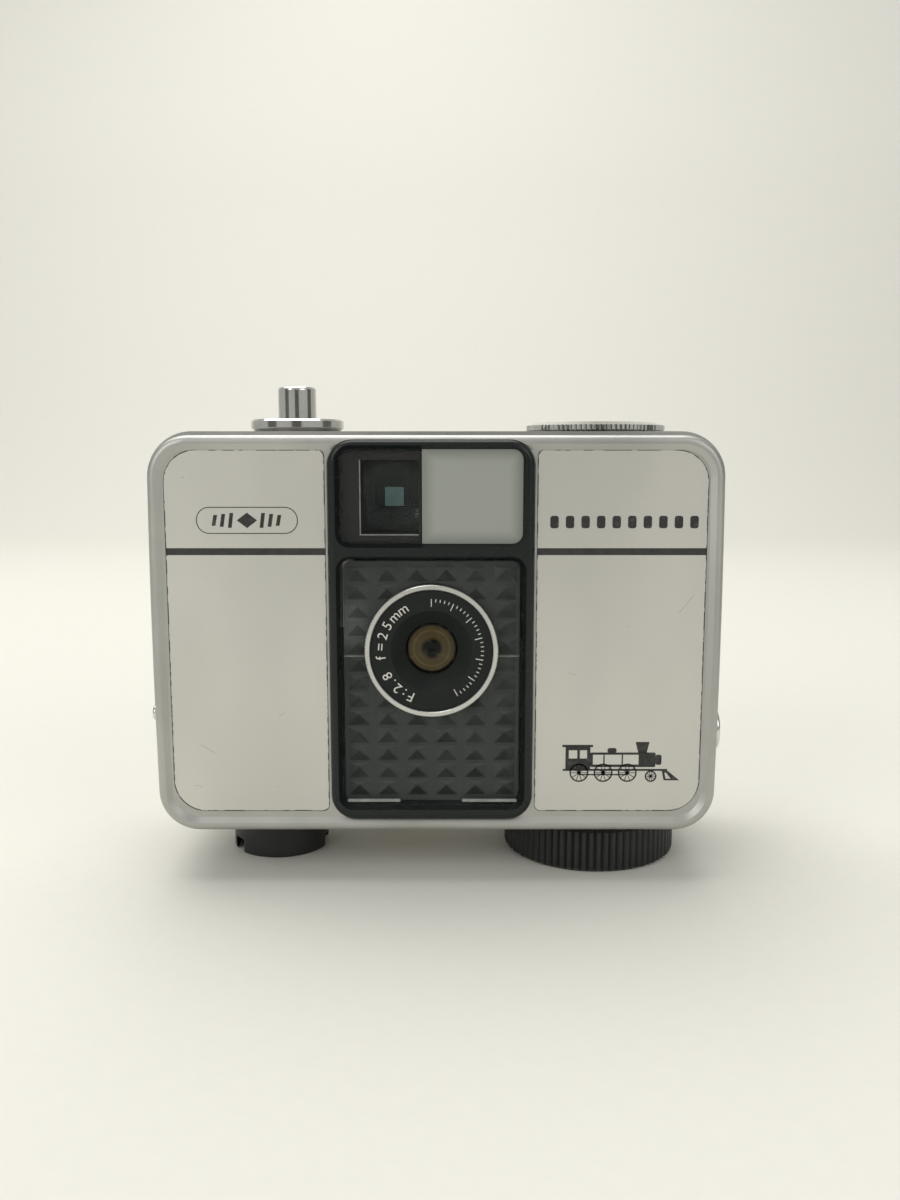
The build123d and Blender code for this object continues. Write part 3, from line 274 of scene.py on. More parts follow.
# %% Finish
class Finish(Tree):
    """One material, built from expressions."""

    def __init__(self, name):
        self.material = bpy.data.materials.new(name)
        self.material.use_nodes = True
        super().__init__(self.material.node_tree)
        self.tree.nodes.clear()
        output = self.tree.nodes.new("ShaderNodeOutputMaterial")
        self.shader = self.tree.nodes.new("ShaderNodeBsdfPrincipled")
        self.tree.links.new(self.shader.outputs[0], output.inputs["Surface"])
        self.place = self.node("ShaderNodeTexCoord", {}, {}, "Object")

    def axes(self):
        """X, Y and Z of the surface in millimetres."""
        return [part * 1000.0 for part in self.split(self.place)]

    def noise(self, per_mm, stretch=(1.0, 1.0, 1.0), detail=2.0, roughness=0.5):
        """Smooth noise with a number of bumps to the millimetre along each stretched axis."""
        scale = [per_mm * 1000.0 * s for s in stretch]
        mapped = self.node("ShaderNodeMapping", {}, {"Vector": self.place, "Scale": scale})
        return self.node("ShaderNodeTexNoise", {}, {"Vector": mapped, "Scale": 1.0, "Detail": detail,
                                                    "Roughness": roughness})

    def specks(self, per_mm, size):
        """Small round spots, 1 inside and 0 outside."""
        mapped = self.node("ShaderNodeMapping", {}, {"Vector": self.place,
                                                     "Scale": [per_mm * 1000.0] * 3})
        cell = self.node("ShaderNodeTexVoronoi", {"feature": "F1"}, {"Vector": mapped, "Scale": 1.0},
                         "Distance")
        return cell.ramp(size, size * 0.6)

    def attribute(self, name):
        """A number stored on the mesh."""
        return self.node("ShaderNodeAttribute", {"attribute_name": name}, {}, "Fac")

    def mix(self, share, low, high):
        """Colour between low and high."""
        return self.node("ShaderNodeMix", {"data_type": "RGBA"}, {0: share, 6: low, 7: high}, 2)

    def bump(self, height, distance_mm, strength=1.0):
        return self.node("ShaderNodeBump", {}, {"Height": height, "Distance": distance_mm * MM,
                                                "Strength": strength})

    def skin(self, **sockets):
        """Sets the shader's sockets. An underscore in a name stands for a space."""
        for key, value in sockets.items():
            self.feed(self.shader.inputs[key.replace("_", " ")], value)


print("trees ready")

# %% [markdown]
# ** Card.** Plain matt card with a faint tooth. It is painted lighter with height, from the floor up
# the backdrop: painted light, for a backdrop lit more than the floor.

# %% Card finish
def card_finish():
    f = Finish("card_matt")
    tooth = f.noise(0.4, detail=4.0)
    _, _, z = f.axes()
    # Painted light: the colour runs from the darker floor tone to the lighter backdrop tone between 5 mm
    # and 420 mm of height.
    low = f.mix(tooth, (0.71, 0.70, 0.655, 1), (0.74, 0.73, 0.685, 1))
    high = f.mix(tooth, (0.81, 0.80, 0.765, 1), (0.84, 0.83, 0.795, 1))
    f.skin(Base_Color=f.mix(z.ramp(5.0, 420.0), low, high), Roughness=0.9,
           Normal=f.bump(tooth, 0.08, 0.4))
    return f.material


card.data.materials.append(card_finish())

# %% [markdown]
# **Satin alloy.** The bezel, the shell and the door are pressed aluminium, blasted fine and
# anodised. Up close it is a tiny even grain, a little polished where fingers rub, with a few dull
# specks. Metal takes its colour from what it mirrors, so the grain goes into roughness and bump.

# %% Satin alloy
def satin_alloy():
    f = Finish("satin_alloy")
    grain = f.noise(9.0, detail=3.0, roughness=0.7)
    cloud = f.noise(0.06, detail=3.0)
    pits = f.specks(0.55, 0.07) * f.noise(0.3).ramp(0.55, 0.7)
    tone = f.mix(cloud.ramp(0.35, 0.7), (0.43, 0.435, 0.415, 1), (0.51, 0.51, 0.49, 1))
    f.skin(Base_Color=f.mix(pits * 0.5, tone, (0.25, 0.24, 0.22, 1)), Metallic=1.0 - pits * 0.4,
           Roughness=0.36 + grain * 0.12 + cloud * 0.06 + pits * 0.2,
           Normal=f.bump(grain, 0.004, 0.35))
    return f.material


SATIN = satin_alloy()

# %% [markdown]
# ** Face plates.** Two thin plates of brushed, lacquered aluminium. The brushing runs up and down,
# so its noise is stretched along Z. A rounded-rectangle distance finds the edges. A thin unbroken
# dark line right at the edge is painted shade of the groove between plate and bezel; dirt along
# the edges, broken by noise into worn specks, darkens them further.

# %% Face plate finish
PLATE_OUTER_CORNER = 4.8
PLATE_INNER_CORNER = 1.0
STRIPE_MIDDLE = 51.45
STRIPE_HEIGHT = 1.05


def edge_distance(x, z, low, high, outer_side):
    """Distance in millimetres inside the plate's edge, with rounder corners on its outer side."""
    middle = [(a + b) / 2 for a, b in zip(low, high)]
    half = [(b - a) / 2 for a, b in zip(low, high)]
    across = x - middle[0]
    outer = (across * outer_side).above(0.0)
    corner = outer * (PLATE_OUTER_CORNER - PLATE_INNER_CORNER) + PLATE_INNER_CORNER
    dx = across.size() - half[0] + corner
    dz = (z - middle[1]).size() - half[1] + corner
    straight = dx.most(dz).least(0.0)
    round_part = (dx.most(0.0).power(2.0) + dz.most(0.0).power(2.0)).math("SQRT")
    return corner - straight - round_part


def scratch(x, z, start, end, width):
    """Mask of one hairline from start to end, in millimetres."""
    run = Vector(end) - Vector(start)
    along = ((x - start[0]) * run.x + (z - start[1]) * run.y) / run.length_squared
    along = along.most(0.0).least(1.0)
    dx = x - start[0] - along * run.x
    dz = z - start[1] - along * run.y
    return (dx.power(2.0) + dz.power(2.0)).math("SQRT").ramp(width, width * 0.3)


def plate_finish(node, outer_side, scratches):
    f = Finish(node + "_brushed")
    low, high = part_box(node)
    x, _, z = f.axes()
    inside = edge_distance(x, z, (low.x / MM, low.z / MM), (high.x / MM, high.z / MM), outer_side)
    brushed = f.noise(5.0, (1.0, 1.0, 0.03), detail=3.0, roughness=0.7)
    cloud = f.noise(0.05, (1.0, 1.0, 0.5), detail=2.0)
    broken = f.noise(0.9, detail=3.0)
    dirt = inside.ramp(0.16, 0.06) * broken.ramp(0.42, 0.54)
    # Painted shade: a thin unbroken dark line at the very edge, for the groove between plate and bezel.
    line = inside.ramp(0.09, 0.03) * 0.7
    dots = f.specks(0.25, 0.035) * f.noise(0.08).ramp(0.5, 0.6)
    marks = dirt.most(line).most(dots * 0.5)
    for start, end, width in scratches:
        marks = marks.most(scratch(x, z, start, end, width) * 0.35)
    stripe = (z - STRIPE_MIDDLE).size().ramp(STRIPE_HEIGHT / 2 + 0.03, STRIPE_HEIGHT / 2 - 0.03)
    marks = marks.most(stripe * (0.94 + broken * 0.06))
    tone = f.mix(cloud.ramp(0.3, 0.7), (0.60, 0.595, 0.56, 1), (0.66, 0.65, 0.615, 1))
    f.skin(Base_Color=f.mix(marks, tone, (0.012, 0.012, 0.012, 1)), Metallic=0.85 - marks * 0.75,
           Roughness=0.40 + brushed * 0.10 + marks * 0.1, Normal=f.bump(brushed, 0.003, 0.25))
    return f.material


LEFT_SCRATCHES = [((-36.0, 21.9), (-33.9, 20.6), 0.07), ((-37.2, 15.5), (-35.9, 15.2), 0.05),
                  ((-24.0, 26.4), (-23.0, 26.9), 0.05)]
RIGHT_SCRATCHES = [((38.6, 45.0), (36.4, 42.2), 0.06), ((20.0, 33.0), (21.1, 32.7), 0.05)]
PLATE_LEFT = plate_finish("left_face_plate", -1, LEFT_SCRATCHES)
PLATE_RIGHT = plate_finish("right_face_plate", 1, RIGHT_SCRATCHES)
print("plates finished")

# %% [markdown]
# **Blacks.** Four black surfaces must not look alike: the moulded centre panel is glossy, the
# knobs are a dry hard plastic, the inside is blackened so that no light gets round the film, and
# the ring round the glass is enamelled over fine turning.

# %% Black plastics and paint
LENS_MIDDLE = (-0.75, 36.5)


def from_lens(f):
    """Distance from the lens axis in millimetres."""
    x, _, z = f.axes()
    return ((x - LENS_MIDDLE[0]).power(2.0) + (z - LENS_MIDDLE[1]).power(2.0)).math("SQRT")


def gloss_black():
    f = Finish("gloss_black")
    cloud = f.noise(0.12, detail=3.0)
    dust = f.specks(0.8, 0.05) * f.noise(0.2).ramp(0.5, 0.62)
    f.skin(Base_Color=f.mix(dust * 0.35, (0.008, 0.011, 0.011, 1), (0.2, 0.2, 0.19, 1)),
           Roughness=0.20 + cloud * 0.14 + dust * 0.3, Specular_IOR_Level=0.32,
           Normal=f.bump(cloud, 0.008, 0.15))
    return f.material


def dry_black():
    f = Finish("dry_black")
    grain = f.noise(6.0, detail=3.0)
    cloud = f.noise(0.2, detail=3.0)
    f.skin(Base_Color=f.mix(cloud, (0.009, 0.011, 0.011, 1), (0.017, 0.019, 0.019, 1)),
           Roughness=0.42 + grain * 0.18, Normal=f.bump(grain, 0.012, 0.5))
    return f.material


def blackened():
    f = Finish("blackened")
    grain = f.noise(4.0, detail=4.0)
    f.skin(Base_Color=f.mix(grain, (0.010, 0.010, 0.010, 1), (0.022, 0.022, 0.021, 1)),
           Roughness=0.68 + grain * 0.15, Specular_IOR_Level=0.25, Normal=f.bump(grain, 0.02, 0.6))
    return f.material


def ring_black():
    """Enamel on the ring round the glass: darker than the casting, and finely turned."""
    f = Finish("ring_black")
    turned = (from_lens(f) * 18.0).math("SINE") * 0.5 + 0.5
    grain = f.noise(2.0, detail=3.0)
    f.skin(Base_Color=f.mix(grain, (0.010, 0.013, 0.012, 1), (0.017, 0.020, 0.019, 1)),
           Roughness=0.38 + grain * 0.15, Specular_IOR_Level=0.16, Normal=f.bump(turned, 0.006, 0.3))
    return f.material


GLOSS_BLACK = gloss_black()
DRY_BLACK = dry_black()
BLACKENED = blackened()
RING_BLACK = ring_black()
print("blacks: gloss, dry, blackened, ring")

# %% [markdown]
# **Bright metals.** Chrome on the button, its collar and the dial; satin chrome on the lens ring
# and the latch; bare steel for springs, leaves and shafts; brass for the screwed sockets. Chrome is
# nearly a mirror, so its life is in faint pitting and grain rather than in colour.

# %% Chrome, steel and brass
def bright_metal(name, tone, worn_tone, roughness, grain_mm, grain_depth):
    f = Finish(name)
    grain = f.noise(grain_mm, detail=3.0)
    cloud = f.noise(0.25, detail=3.0)
    pits = f.specks(1.1, 0.06) * f.noise(0.5).ramp(0.52, 0.66)
    f.skin(Base_Color=f.mix((cloud.ramp(0.45, 0.8) * 0.5).most(pits), tone, worn_tone),
           Metallic=1.0 - pits * 0.3, Roughness=roughness + grain * 0.08 + pits * 0.25,
           Normal=f.bump(grain, grain_depth, 0.3))
    return f.material


CHROME = bright_metal("chrome", (0.68, 0.68, 0.655, 1), (0.50, 0.50, 0.475, 1), 0.09, 7.0, 0.002)
SATIN_CHROME = bright_metal("satin_chrome", (0.60, 0.61, 0.59, 1), (0.42, 0.42, 0.40, 1), 0.24, 6.0,
                            0.003)
STEEL = bright_metal("bare_steel", (0.55, 0.55, 0.54, 1), (0.35, 0.34, 0.32, 1), 0.28, 8.0, 0.004)
BRASS = bright_metal("brass", (0.70, 0.54, 0.27, 1), (0.40, 0.28, 0.13, 1), 0.25, 6.0, 0.004)
print("metals: chrome, satin chrome, steel, brass")

# %% [markdown]
# **Windows.** A clear pane is mostly what lies behind it, so it is a sheet that light passes
# straight through, with a gloss on top and a little dust. Bending light in panes this thin would
# only make the picture noisy.

# %% Clear pane, frosted pane, glass
def clear_pane(name, tint, haze, gloss):
    f = Finish(name)
    smear = f.noise(0.18, (1.0, 1.0, 0.4), detail=4.0)
    dust = f.specks(0.9, 0.05) * f.noise(0.25).ramp(0.52, 0.62)
    f.skin(Base_Color=f.mix(smear, tint, (0.22, 0.235, 0.23, 1)),
           Roughness=0.08 + smear * 0.12 + dust * 0.4, Specular_IOR_Level=gloss,
           Alpha=haze + smear.ramp(0.45, 0.8) * haze + dust * 0.35)
    return f.material


def frosted():
    f = Finish("frosted_pane")
    grain = f.noise(3.5, detail=3.0)
    low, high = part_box("frosted_window")
    x, _, z = f.axes()
    # Painted shade: the pane is painted darker within 2.2 mm of its edges, where the frame round it
    # shades it.
    inset = ((x - low.x / MM).least(high.x / MM - x)).least((z - low.z / MM).least(high.z / MM - z))
    tone = f.mix(inset.ramp(0.0, 2.2), (0.210, 0.225, 0.205, 1), (0.305, 0.320, 0.290, 1))
    f.skin(Base_Color=tone, Roughness=0.38 + grain * 0.2, Normal=f.bump(grain, 0.006, 0.4))
    return f.material


CLEAR = clear_pane("clear_pane", (0.30, 0.32, 0.31, 1), 0.02, 0.16)
FROSTED = frosted()

# %% Lens glass
def coated_glass():
    """Coated glass over the dark of the stop. An amber ring and a paler ghost ring are painted
    reflections in the coating; smears lighten it in patches.
    """
    f = Finish("coated_glass")
    radius = from_lens(f)
    painted_amber_reflection = radius.ramp(1.2, 1.9) * radius.ramp(3.7, 3.3)
    painted_ghost_reflection = radius.ramp(2.5, 2.7) * radius.ramp(3.0, 2.8)
    tone = f.mix(painted_amber_reflection, (0.005, 0.006, 0.005, 1), (0.066, 0.051, 0.024, 1))
    smear = f.noise(0.5, detail=3.0)
    f.skin(Base_Color=f.mix(painted_ghost_reflection * 0.5 + smear.ramp(0.5, 0.7) * 0.3, tone, (0.12, 0.095, 0.048, 1)),
           Roughness=0.10 + smear * 0.08, Specular_IOR_Level=0.14)
    return f.material


def clear_glass():
    f = Finish("finder_glass")
    smear = f.noise(0.4, detail=3.0)
    f.skin(Base_Color=(0.04, 0.07, 0.065, 1), Roughness=0.05 + smear * 0.08, Alpha=0.22 + smear * 0.1)
    return f.material


COATED = coated_glass()
FINDER_GLASS = clear_glass()

# %% [markdown]
# **Small stuff.** Foam for the light seals, cream insulation in the flash socket and the dark
# selenium plate behind the cell's window.

# %% Foam, insulation, selenium
def plain_grain(name, tone, dark, roughness, per_mm, depth):
    f = Finish(name)
    grain = f.noise(per_mm, detail=4.0)
    f.skin(Base_Color=f.mix(grain, dark, tone), Roughness=roughness + grain * 0.1,
           Normal=f.bump(grain, depth, 0.6))
    return f.material


FOAM = plain_grain("foam", (0.035, 0.034, 0.033, 1), (0.008, 0.008, 0.008, 1), 0.85, 3.0, 0.08)
CREAM = plain_grain("cream_insulation", (0.72, 0.69, 0.60, 1), (0.55, 0.52, 0.43, 1), 0.45, 2.0, 0.01)
SELENIUM = plain_grain("selenium", (0.050, 0.055, 0.056, 1), (0.030, 0.034, 0.035, 1), 0.35, 1.5, 0.005)

# %% [markdown]
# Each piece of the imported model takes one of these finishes.

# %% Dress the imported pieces
DRESS = {
    "front_bezel": SATIN, "body_shell": SATIN, "back_door": SATIN,
    "left_face_plate": PLATE_LEFT, "right_face_plate": PLATE_RIGHT,
    "centre_panel": GLOSS_BLACK, "eyepiece_frame": GLOSS_BLACK,
    "window_pane": CLEAR, "cell_window": CLEAR, "counter_window": CLEAR,
    "selenium_cell": SELENIUM, "frosted_window": FROSTED,
    "hinge_pin": STEEL, "rewind_shaft": STEEL, "crank_pin": STEEL, "release_rod": STEEL,
    "button_spring": STEEL, "latch_spring": STEEL, "mainspring": STEEL, "pressure_spring": STEEL,
    "shutter_leaf_left": STEEL, "shutter_leaf_right": STEEL, "meter_needle": STEEL,
    "aperture_leaf_left": STEEL, "aperture_leaf_right": STEEL, "release_button": SATIN_CHROME,
    "shutter_button": CHROME, "button_collar": CHROME, "aperture_dial": CHROME,
    "lens_ring": SATIN_CHROME, "flash_socket": CHROME, "strap_lug": CHROME, "door_latch": SATIN_CHROME,
    "case_screws": SATIN_CHROME, "winding_arbor": BRASS, "tripod_socket": BRASS,
    "socket_contact": BRASS, "aperture_cam": BRASS,
    "winding_knob": DRY_BLACK, "rewind_knob": DRY_BLACK, "take_up_spool": DRY_BLACK,
    "sprocket": DRY_BLACK, "meter_housing": DRY_BLACK,
    "rewind_crank": BLACKENED, "chassis": BLACKENED, "film_gate": BLACKENED, "finder_tunnel": BLACKENED,
    "name_ring": RING_BLACK, "lens_barrel": BLACKENED, "shutter_housing": BLACKENED,
    "shutter_cover": BLACKENED, "pressure_plate": BLACKENED, "counter_disc": BLACKENED,
    "front_element": COATED, "middle_element": COATED, "rear_element": COATED,
    "finder_objective": FINDER_GLASS, "eyepiece_lens": FINDER_GLASS,
    "light_seals": FOAM, "socket_insulator": CREAM,
}
for name, material in DRESS.items():
    mesh = nodes[name].data
    mesh.materials.clear()
    mesh.materials.append(material)
print("dressed", len(DRESS), "of", len(nodes), "left:", sorted(set(nodes) - set(DRESS)))

# %% [markdown]
# **Details.** What repeats is grown by Geometry Nodes: a `Nest` is a node tree with named inputs
# that is worked in millimetres, seen from the front with the depth as its Z, and turned into place
# by its last node.

# %% Nest
class Nest(Tree):
    """A Geometry Nodes tree that becomes one mesh."""

    def __init__(self, name, **values):
        self.name = name
        super().__init__(bpy.data.node_groups.new(name, "GeometryNodeTree"))
        self.values = {}
        for label, value in values.items():
            kind = "NodeSocketInt" if isinstance(value, int) else "NodeSocketFloat"
            socket = self.tree.interface.new_socket(label, in_out="INPUT", socket_type=kind)
            self.values[socket.identifier] = value
        self.tree.interface.new_socket("Geometry", in_out="OUTPUT",
                                       socket_type="NodeSocketGeometry")
        self.entry = self.tree.nodes.new("NodeGroupInput")

    def given(self, *labels):
        """The wires of the named inputs."""
        return [Wire(self, self.entry.outputs[label]) for label in labels]

    def vector(self, x, y, z):
        return self.node("ShaderNodeCombineXYZ", {}, [x, y, z])

    def line(self, count):
        """A row of points that still has to be laid out."""
        return self.node("GeometryNodeMeshLine", {}, {"Count": count})

    def index(self):
        return self.node("GeometryNodeInputIndex", {}, {})

    def laid(self, points, place):
        return self.node("GeometryNodeSetPosition", {}, {"Geometry": points, "Position": place})

    def box(self, x, y, z):
        return self.node("GeometryNodeMeshCube", {}, {"Size": self.vector(x, y, z)})

    def moved(self, geometry, **how):
        return self.node("GeometryNodeTransform", {}, {"Geometry": geometry, **how})

    def spin(self, angle):
        """A rotation about the depth axis."""
        return self.node("FunctionNodeAxisAngleToRotation", {}, {"Axis": (0, 0, 1), "Angle": angle})

    def chance(self, low, high, seed):
        return self.node("FunctionNodeRandomValue", {"data_type": "FLOAT"},
                         {2: low, 3: high, "Seed": seed}, 1)

    def stored(self, geometry, label, value, domain):
        return self.node("GeometryNodeStoreNamedAttribute", {"data_type": "FLOAT", "domain": domain},
                         {"Geometry": geometry, "Name": label, "Value": value})

    def copies(self, points, thing, **how):
        return self.node("GeometryNodeInstanceOnPoints", {}, {"Points": points, "Instance": thing,
                                                              **how})

    def realised(self, geometry):
        return self.node("GeometryNodeRealizeInstances", {}, {"Geometry": geometry})

    def together(self, *parts):
        join = self.tree.nodes.new("GeometryNodeJoinGeometry")
        for part in parts:
            self.tree.links.new(part.socket, join.inputs[0])
        return Wire(self, join.outputs[0])

    def grown(self, geometry, material, place, facing_front=True):
        """Turns the geometry into place, evaluates the tree and keeps the mesh."""
        turn = (math.pi / 2, 0, 0) if facing_front else (0, 0, 0)
        whole = self.moved(self.realised(geometry), Rotation=turn, Scale=(MM, MM, MM),
                           Translation=tuple(v * MM for v in place))
        last = self.node("GeometryNodeSetMaterial", {}, {"Geometry": self.realised(whole),
                                                         "Material": material})
        leave = self.tree.nodes.new("NodeGroupOutput")
        self.tree.links.new(last.socket, leave.inputs[0])
        seed = bpy.data.objects.new(self.name, bpy.data.meshes.new(self.name + "_seed"))
        bpy.context.collection.objects.link(seed)
        modifier = seed.modifiers.new("grow", "NODES")
        modifier.node_group = self.tree
        for identifier, value in self.values.items():
            modifier[identifier] = value
        shape = seed.evaluated_get(bpy.context.evaluated_depsgraph_get())
        mesh = bpy.data.meshes.new_from_object(shape)
        seed.modifiers.clear()
        seed.data = mesh
        mesh.name = self.name
        print(self.name, "faces", len(mesh.polygons))
        return seed


print("nest ready")

# %% [markdown]
# ** Light cell.** A selenium meter sits behind moulded prisms that gather light from the front
# only. Under the clear cover each prism is a low pyramid whose tip lies above its middle, so its
# lower face is long. The finish paints faces turned down dark, as painted shade, and faces turned
# up pale, as painted light, and adds a pale patch left of the lens as a painted reflection. No
# prism grows within the lens ring.

# %% Prism finish
CELL_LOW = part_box("cell_window")[0] / MM
CELL_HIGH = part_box("cell_window")[1] / MM
RING_RADIUS = 10.05


def prism_finish():
    f = Finish("prisms")
    facet = f.attribute("facet")
    shade = f.attribute("shade")
    murk = f.noise(0.35, detail=4.0)
    x, _, z = f.axes()
    # The pale patch left of the lens is a painted reflection; faces turned down are painted dark (painted
    # shade) and faces turned up pale (painted light).
    painted_reflection_left = x.ramp(-9.5, -13.0) * ((z - 40.5).size()).ramp(4.5, 2.0)
    dark = facet.ramp(-0.12, -0.30)
    painted_light_facets = facet.ramp(0.15, 0.45)
    tone = f.mix(painted_light_facets, (0.033, 0.038, 0.037, 1), (0.075, 0.085, 0.081, 1))
    tone = f.mix(dark, tone, (0.004, 0.006, 0.006, 1))
    tone = f.mix(murk.ramp(0.4, 0.8) * 0.35 + shade * 0.15, tone, (0.055, 0.062, 0.058, 1))
    f.skin(Base_Color=f.mix(painted_reflection_left * (1.0 - dark * 0.6) * 0.6, tone, (0.14, 0.15, 0.145, 1)),
           Roughness=0.26 + murk * 0.2, Normal=f.bump(murk, 0.03, 0.4), Specular_IOR_Level=0.22)
    return f.material


PRISMS = prism_finish()

# %% Prisms
PRISM_COLUMNS = 6
PRISM_ROWS = 13
PRISM_PITCH = (4.45, 2.77)
PRISM_BASE = (3.35, 2.35)
PRISM_HEIGHT = 0.8
PRISM_TIP_LIFT = 0.75
CELL_MIDDLE = ((CELL_LOW + CELL_HIGH) / 2).x, ((CELL_LOW + CELL_HIGH) / 2).z


def prisms():
    n = Nest("cell_relief", Columns=PRISM_COLUMNS, Rows=PRISM_ROWS, Pitch_X=PRISM_PITCH[0],
             Pitch_Y=PRISM_PITCH[1], Height=PRISM_HEIGHT, Tip_Lift=PRISM_TIP_LIFT, Seed=4)
    columns, rows, pitch_x, pitch_y, height, lift, seed = n.given(
        "Columns", "Rows", "Pitch_X", "Pitch_Y", "Height", "Tip_Lift", "Seed")
    grid = n.node("GeometryNodeMeshGrid", {}, {
        "Size X": (columns - 1) * pitch_x, "Size Y": (rows - 1) * pitch_y,
        "Vertices X": columns, "Vertices Y": rows})
    px, py, _ = n.split(n.node("GeometryNodeInputPosition", {}, {}))
    to_lens = LENS_MIDDLE[1] - CELL_MIDDLE[1]
    near = (px.power(2.0) + (py - to_lens).power(2.0)).math("LESS_THAN", (RING_RADIUS + 0.2) ** 2)
    grid = n.node("GeometryNodeDeleteGeometry", {"domain": "POINT"}, {"Geometry": grid,
                                                                      "Selection": near})
    cone = n.node("GeometryNodeMeshCone", {}, {"Vertices": 4, "Radius Top": 0.0, "Depth": height,
                                               "Radius Bottom": math.sqrt(0.5)})
    square = n.moved(n.moved(cone, Rotation=(0, 0, math.pi / 4)), Scale=(*PRISM_BASE, 1.0))
    sx, sy, sz = n.split(n.node("GeometryNodeInputPosition", {}, {}))
    tip = sz.above(PRISM_HEIGHT / 2)
    leaning = n.laid(square, n.vector(sx, sy + tip * lift, sz))
    _, up, _ = n.split(n.node("GeometryNodeInputNormal", {}, {}))
    leaning = n.stored(leaning, "facet", up, "FACE")
    field = n.copies(grid, leaning, Scale=n.vector(n.chance(0.95, 1.03, seed),
                                                   n.chance(0.96, 1.02, seed + 1), 1.0))
    field = n.stored(field, "shade", n.chance(0.0, 1.0, seed + 2), "INSTANCE")
    return n.grown(field, PRISMS, (CELL_MIDDLE[0], CELL_HIGH.y - 0.07, CELL_MIDDLE[1]))


relief = prisms()
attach(relief, "camera")

# %% [markdown]
# Flat shapes serve for the cell's cover and floor, the printing on the plates, the marks round the
# lens and the inside of the finder. Each is a filled curve, made mesh at once. Loops inside other
# loops become holes.

# %% Flat shapes
def mesh_of(curve_object):
    """Mesh of a curve or text object, which is then thrown away."""
    bpy.context.collection.objects.link(curve_object)
    shape = curve_object.evaluated_get(bpy.context.evaluated_depsgraph_get())
    mesh = bpy.data.meshes.new_from_object(shape)
    bpy.data.objects.remove(curve_object)
    return mesh


def flat(loops, thickness):
    """Mesh of filled loops of (x, z) points in millimetres, its middle on the plane."""
    curve = bpy.data.curves.new("flat", "CURVE")
    curve.dimensions = "2D"
    curve.fill_mode = "BOTH"
    curve.extrude = thickness / 2
    for loop in loops:
        spline = curve.splines.new("POLY")
        spline.points.add(len(loop) - 1)
        for point, (x, z) in zip(spline.points, loop):
            point.co = (x, z, 0, 1)
        spline.use_cyclic_u = True
    return mesh_of(bpy.data.objects.new("flat", curve))


def to_front(meshes, y, name, material):
    """One object from flat meshes, stood upright at depth y."""
    whole = bmesh.new()
    for mesh in meshes:
        whole.from_mesh(mesh)
        bpy.data.meshes.remove(mesh)
    bmesh.ops.remove_doubles(whole, verts=whole.verts, dist=1e-5)
    upright = Matrix.Rotation(math.pi / 2, 4, "X")
    turn = Matrix.Translation((0, y * MM, 0)) @ Matrix.Scale(MM, 4) @ upright
    bmesh.ops.transform(whole, matrix=turn, verts=whole.verts)
    bmesh.ops.recalc_face_normals(whole, faces=whole.faces)
    mesh = bpy.data.meshes.new(name)
    whole.to_mesh(mesh)
    whole.free()
    mesh.materials.append(material)
    piece = bpy.data.objects.new(name, mesh)
    bpy.context.collection.objects.link(piece)
    return piece


def circle(x, z, radius, steps=48):
    turn = 2 * math.pi / steps
    return [(x + radius * math.cos(i * turn), z + radius * math.sin(i * turn)) for i in range(steps)]


def plate(x, z, corner=0.0, steps=8):
    """Rounded rectangle from (low, high) pairs."""
    points = []
    for cx, cz, first in ((x[1], z[1], 0), (x[0], z[1], 90), (x[0], z[0], 180), (x[1], z[0], 270)):
        mx = cx - corner if cx == x[1] else cx + corner
        mz = cz - corner if cz == z[1] else cz + corner
        for i in range(steps + 1 if corner else 1):
            angle = math.radians(first + 90 * i / steps)
            points.append((mx + corner * math.cos(angle), mz + corner * math.sin(angle)))
    return points


# %% [markdown]
# The cover and the floor both go round the lens. Along the cover's foot run two stretches of
# moulded lip, and a short seam shows at each side of the lens. Both are painted pale grey: painted
# highlights on the clear moulding.

# %% Cell cover and floor
COVER_THICKNESS = 0.6
COVER_CORNER = 1.55
FLOOR_THICKNESS = 0.1
FLOOR_INSET = 0.3
FLOOR_CORNER = 1.2
RING_CLEARANCE = 0.05
LIP_RADIUS = 0.22
LIP_LOW = CELL_LOW.z + 0.35
LIP_HIGH = LIP_LOW + 2 * LIP_RADIUS
LIP_STRETCHES = [(-13.7, -5.6), (3.9, 12.3)]
SEAM_STRETCHES = [(-14.0, -10.9), (9.4, 12.5)]
SEAM_Z = (35.55, 35.66)


# Painted highlight: pale grey broken by noise, used on the cell's lip and seams and on the finder's edge.
def painted_highlight_finish():
    f = Finish("moulded_edge")
    wave = f.noise(0.6, detail=3.0)
    f.skin(Base_Color=f.mix(wave, (0.10, 0.11, 0.105, 1), (0.42, 0.44, 0.42, 1)),
           Roughness=0.2 + wave * 0.1, Normal=f.bump(wave, 0.1, 0.5))
    return f.material


def round_lens(inset, corner, thickness):
    """The cell's rectangle, drawn in by inset, with a hole that clears the lens ring."""
    outer = plate((CELL_LOW.x + inset, CELL_HIGH.x - inset), (CELL_LOW.z + inset, CELL_HIGH.z - inset),
                  corner)
    return flat([outer, circle(*LENS_MIDDLE, RING_RADIUS + RING_CLEARANCE, 96)], thickness)


def lip_and_seam():
    lips = [flat([plate(span, (LIP_LOW, LIP_HIGH), LIP_RADIUS * 0.9)], 0.3) for span in LIP_STRETCHES]
    seams = [flat([plate(span, SEAM_Z)], 0.1) for span in SEAM_STRETCHES]
    return lips + seams


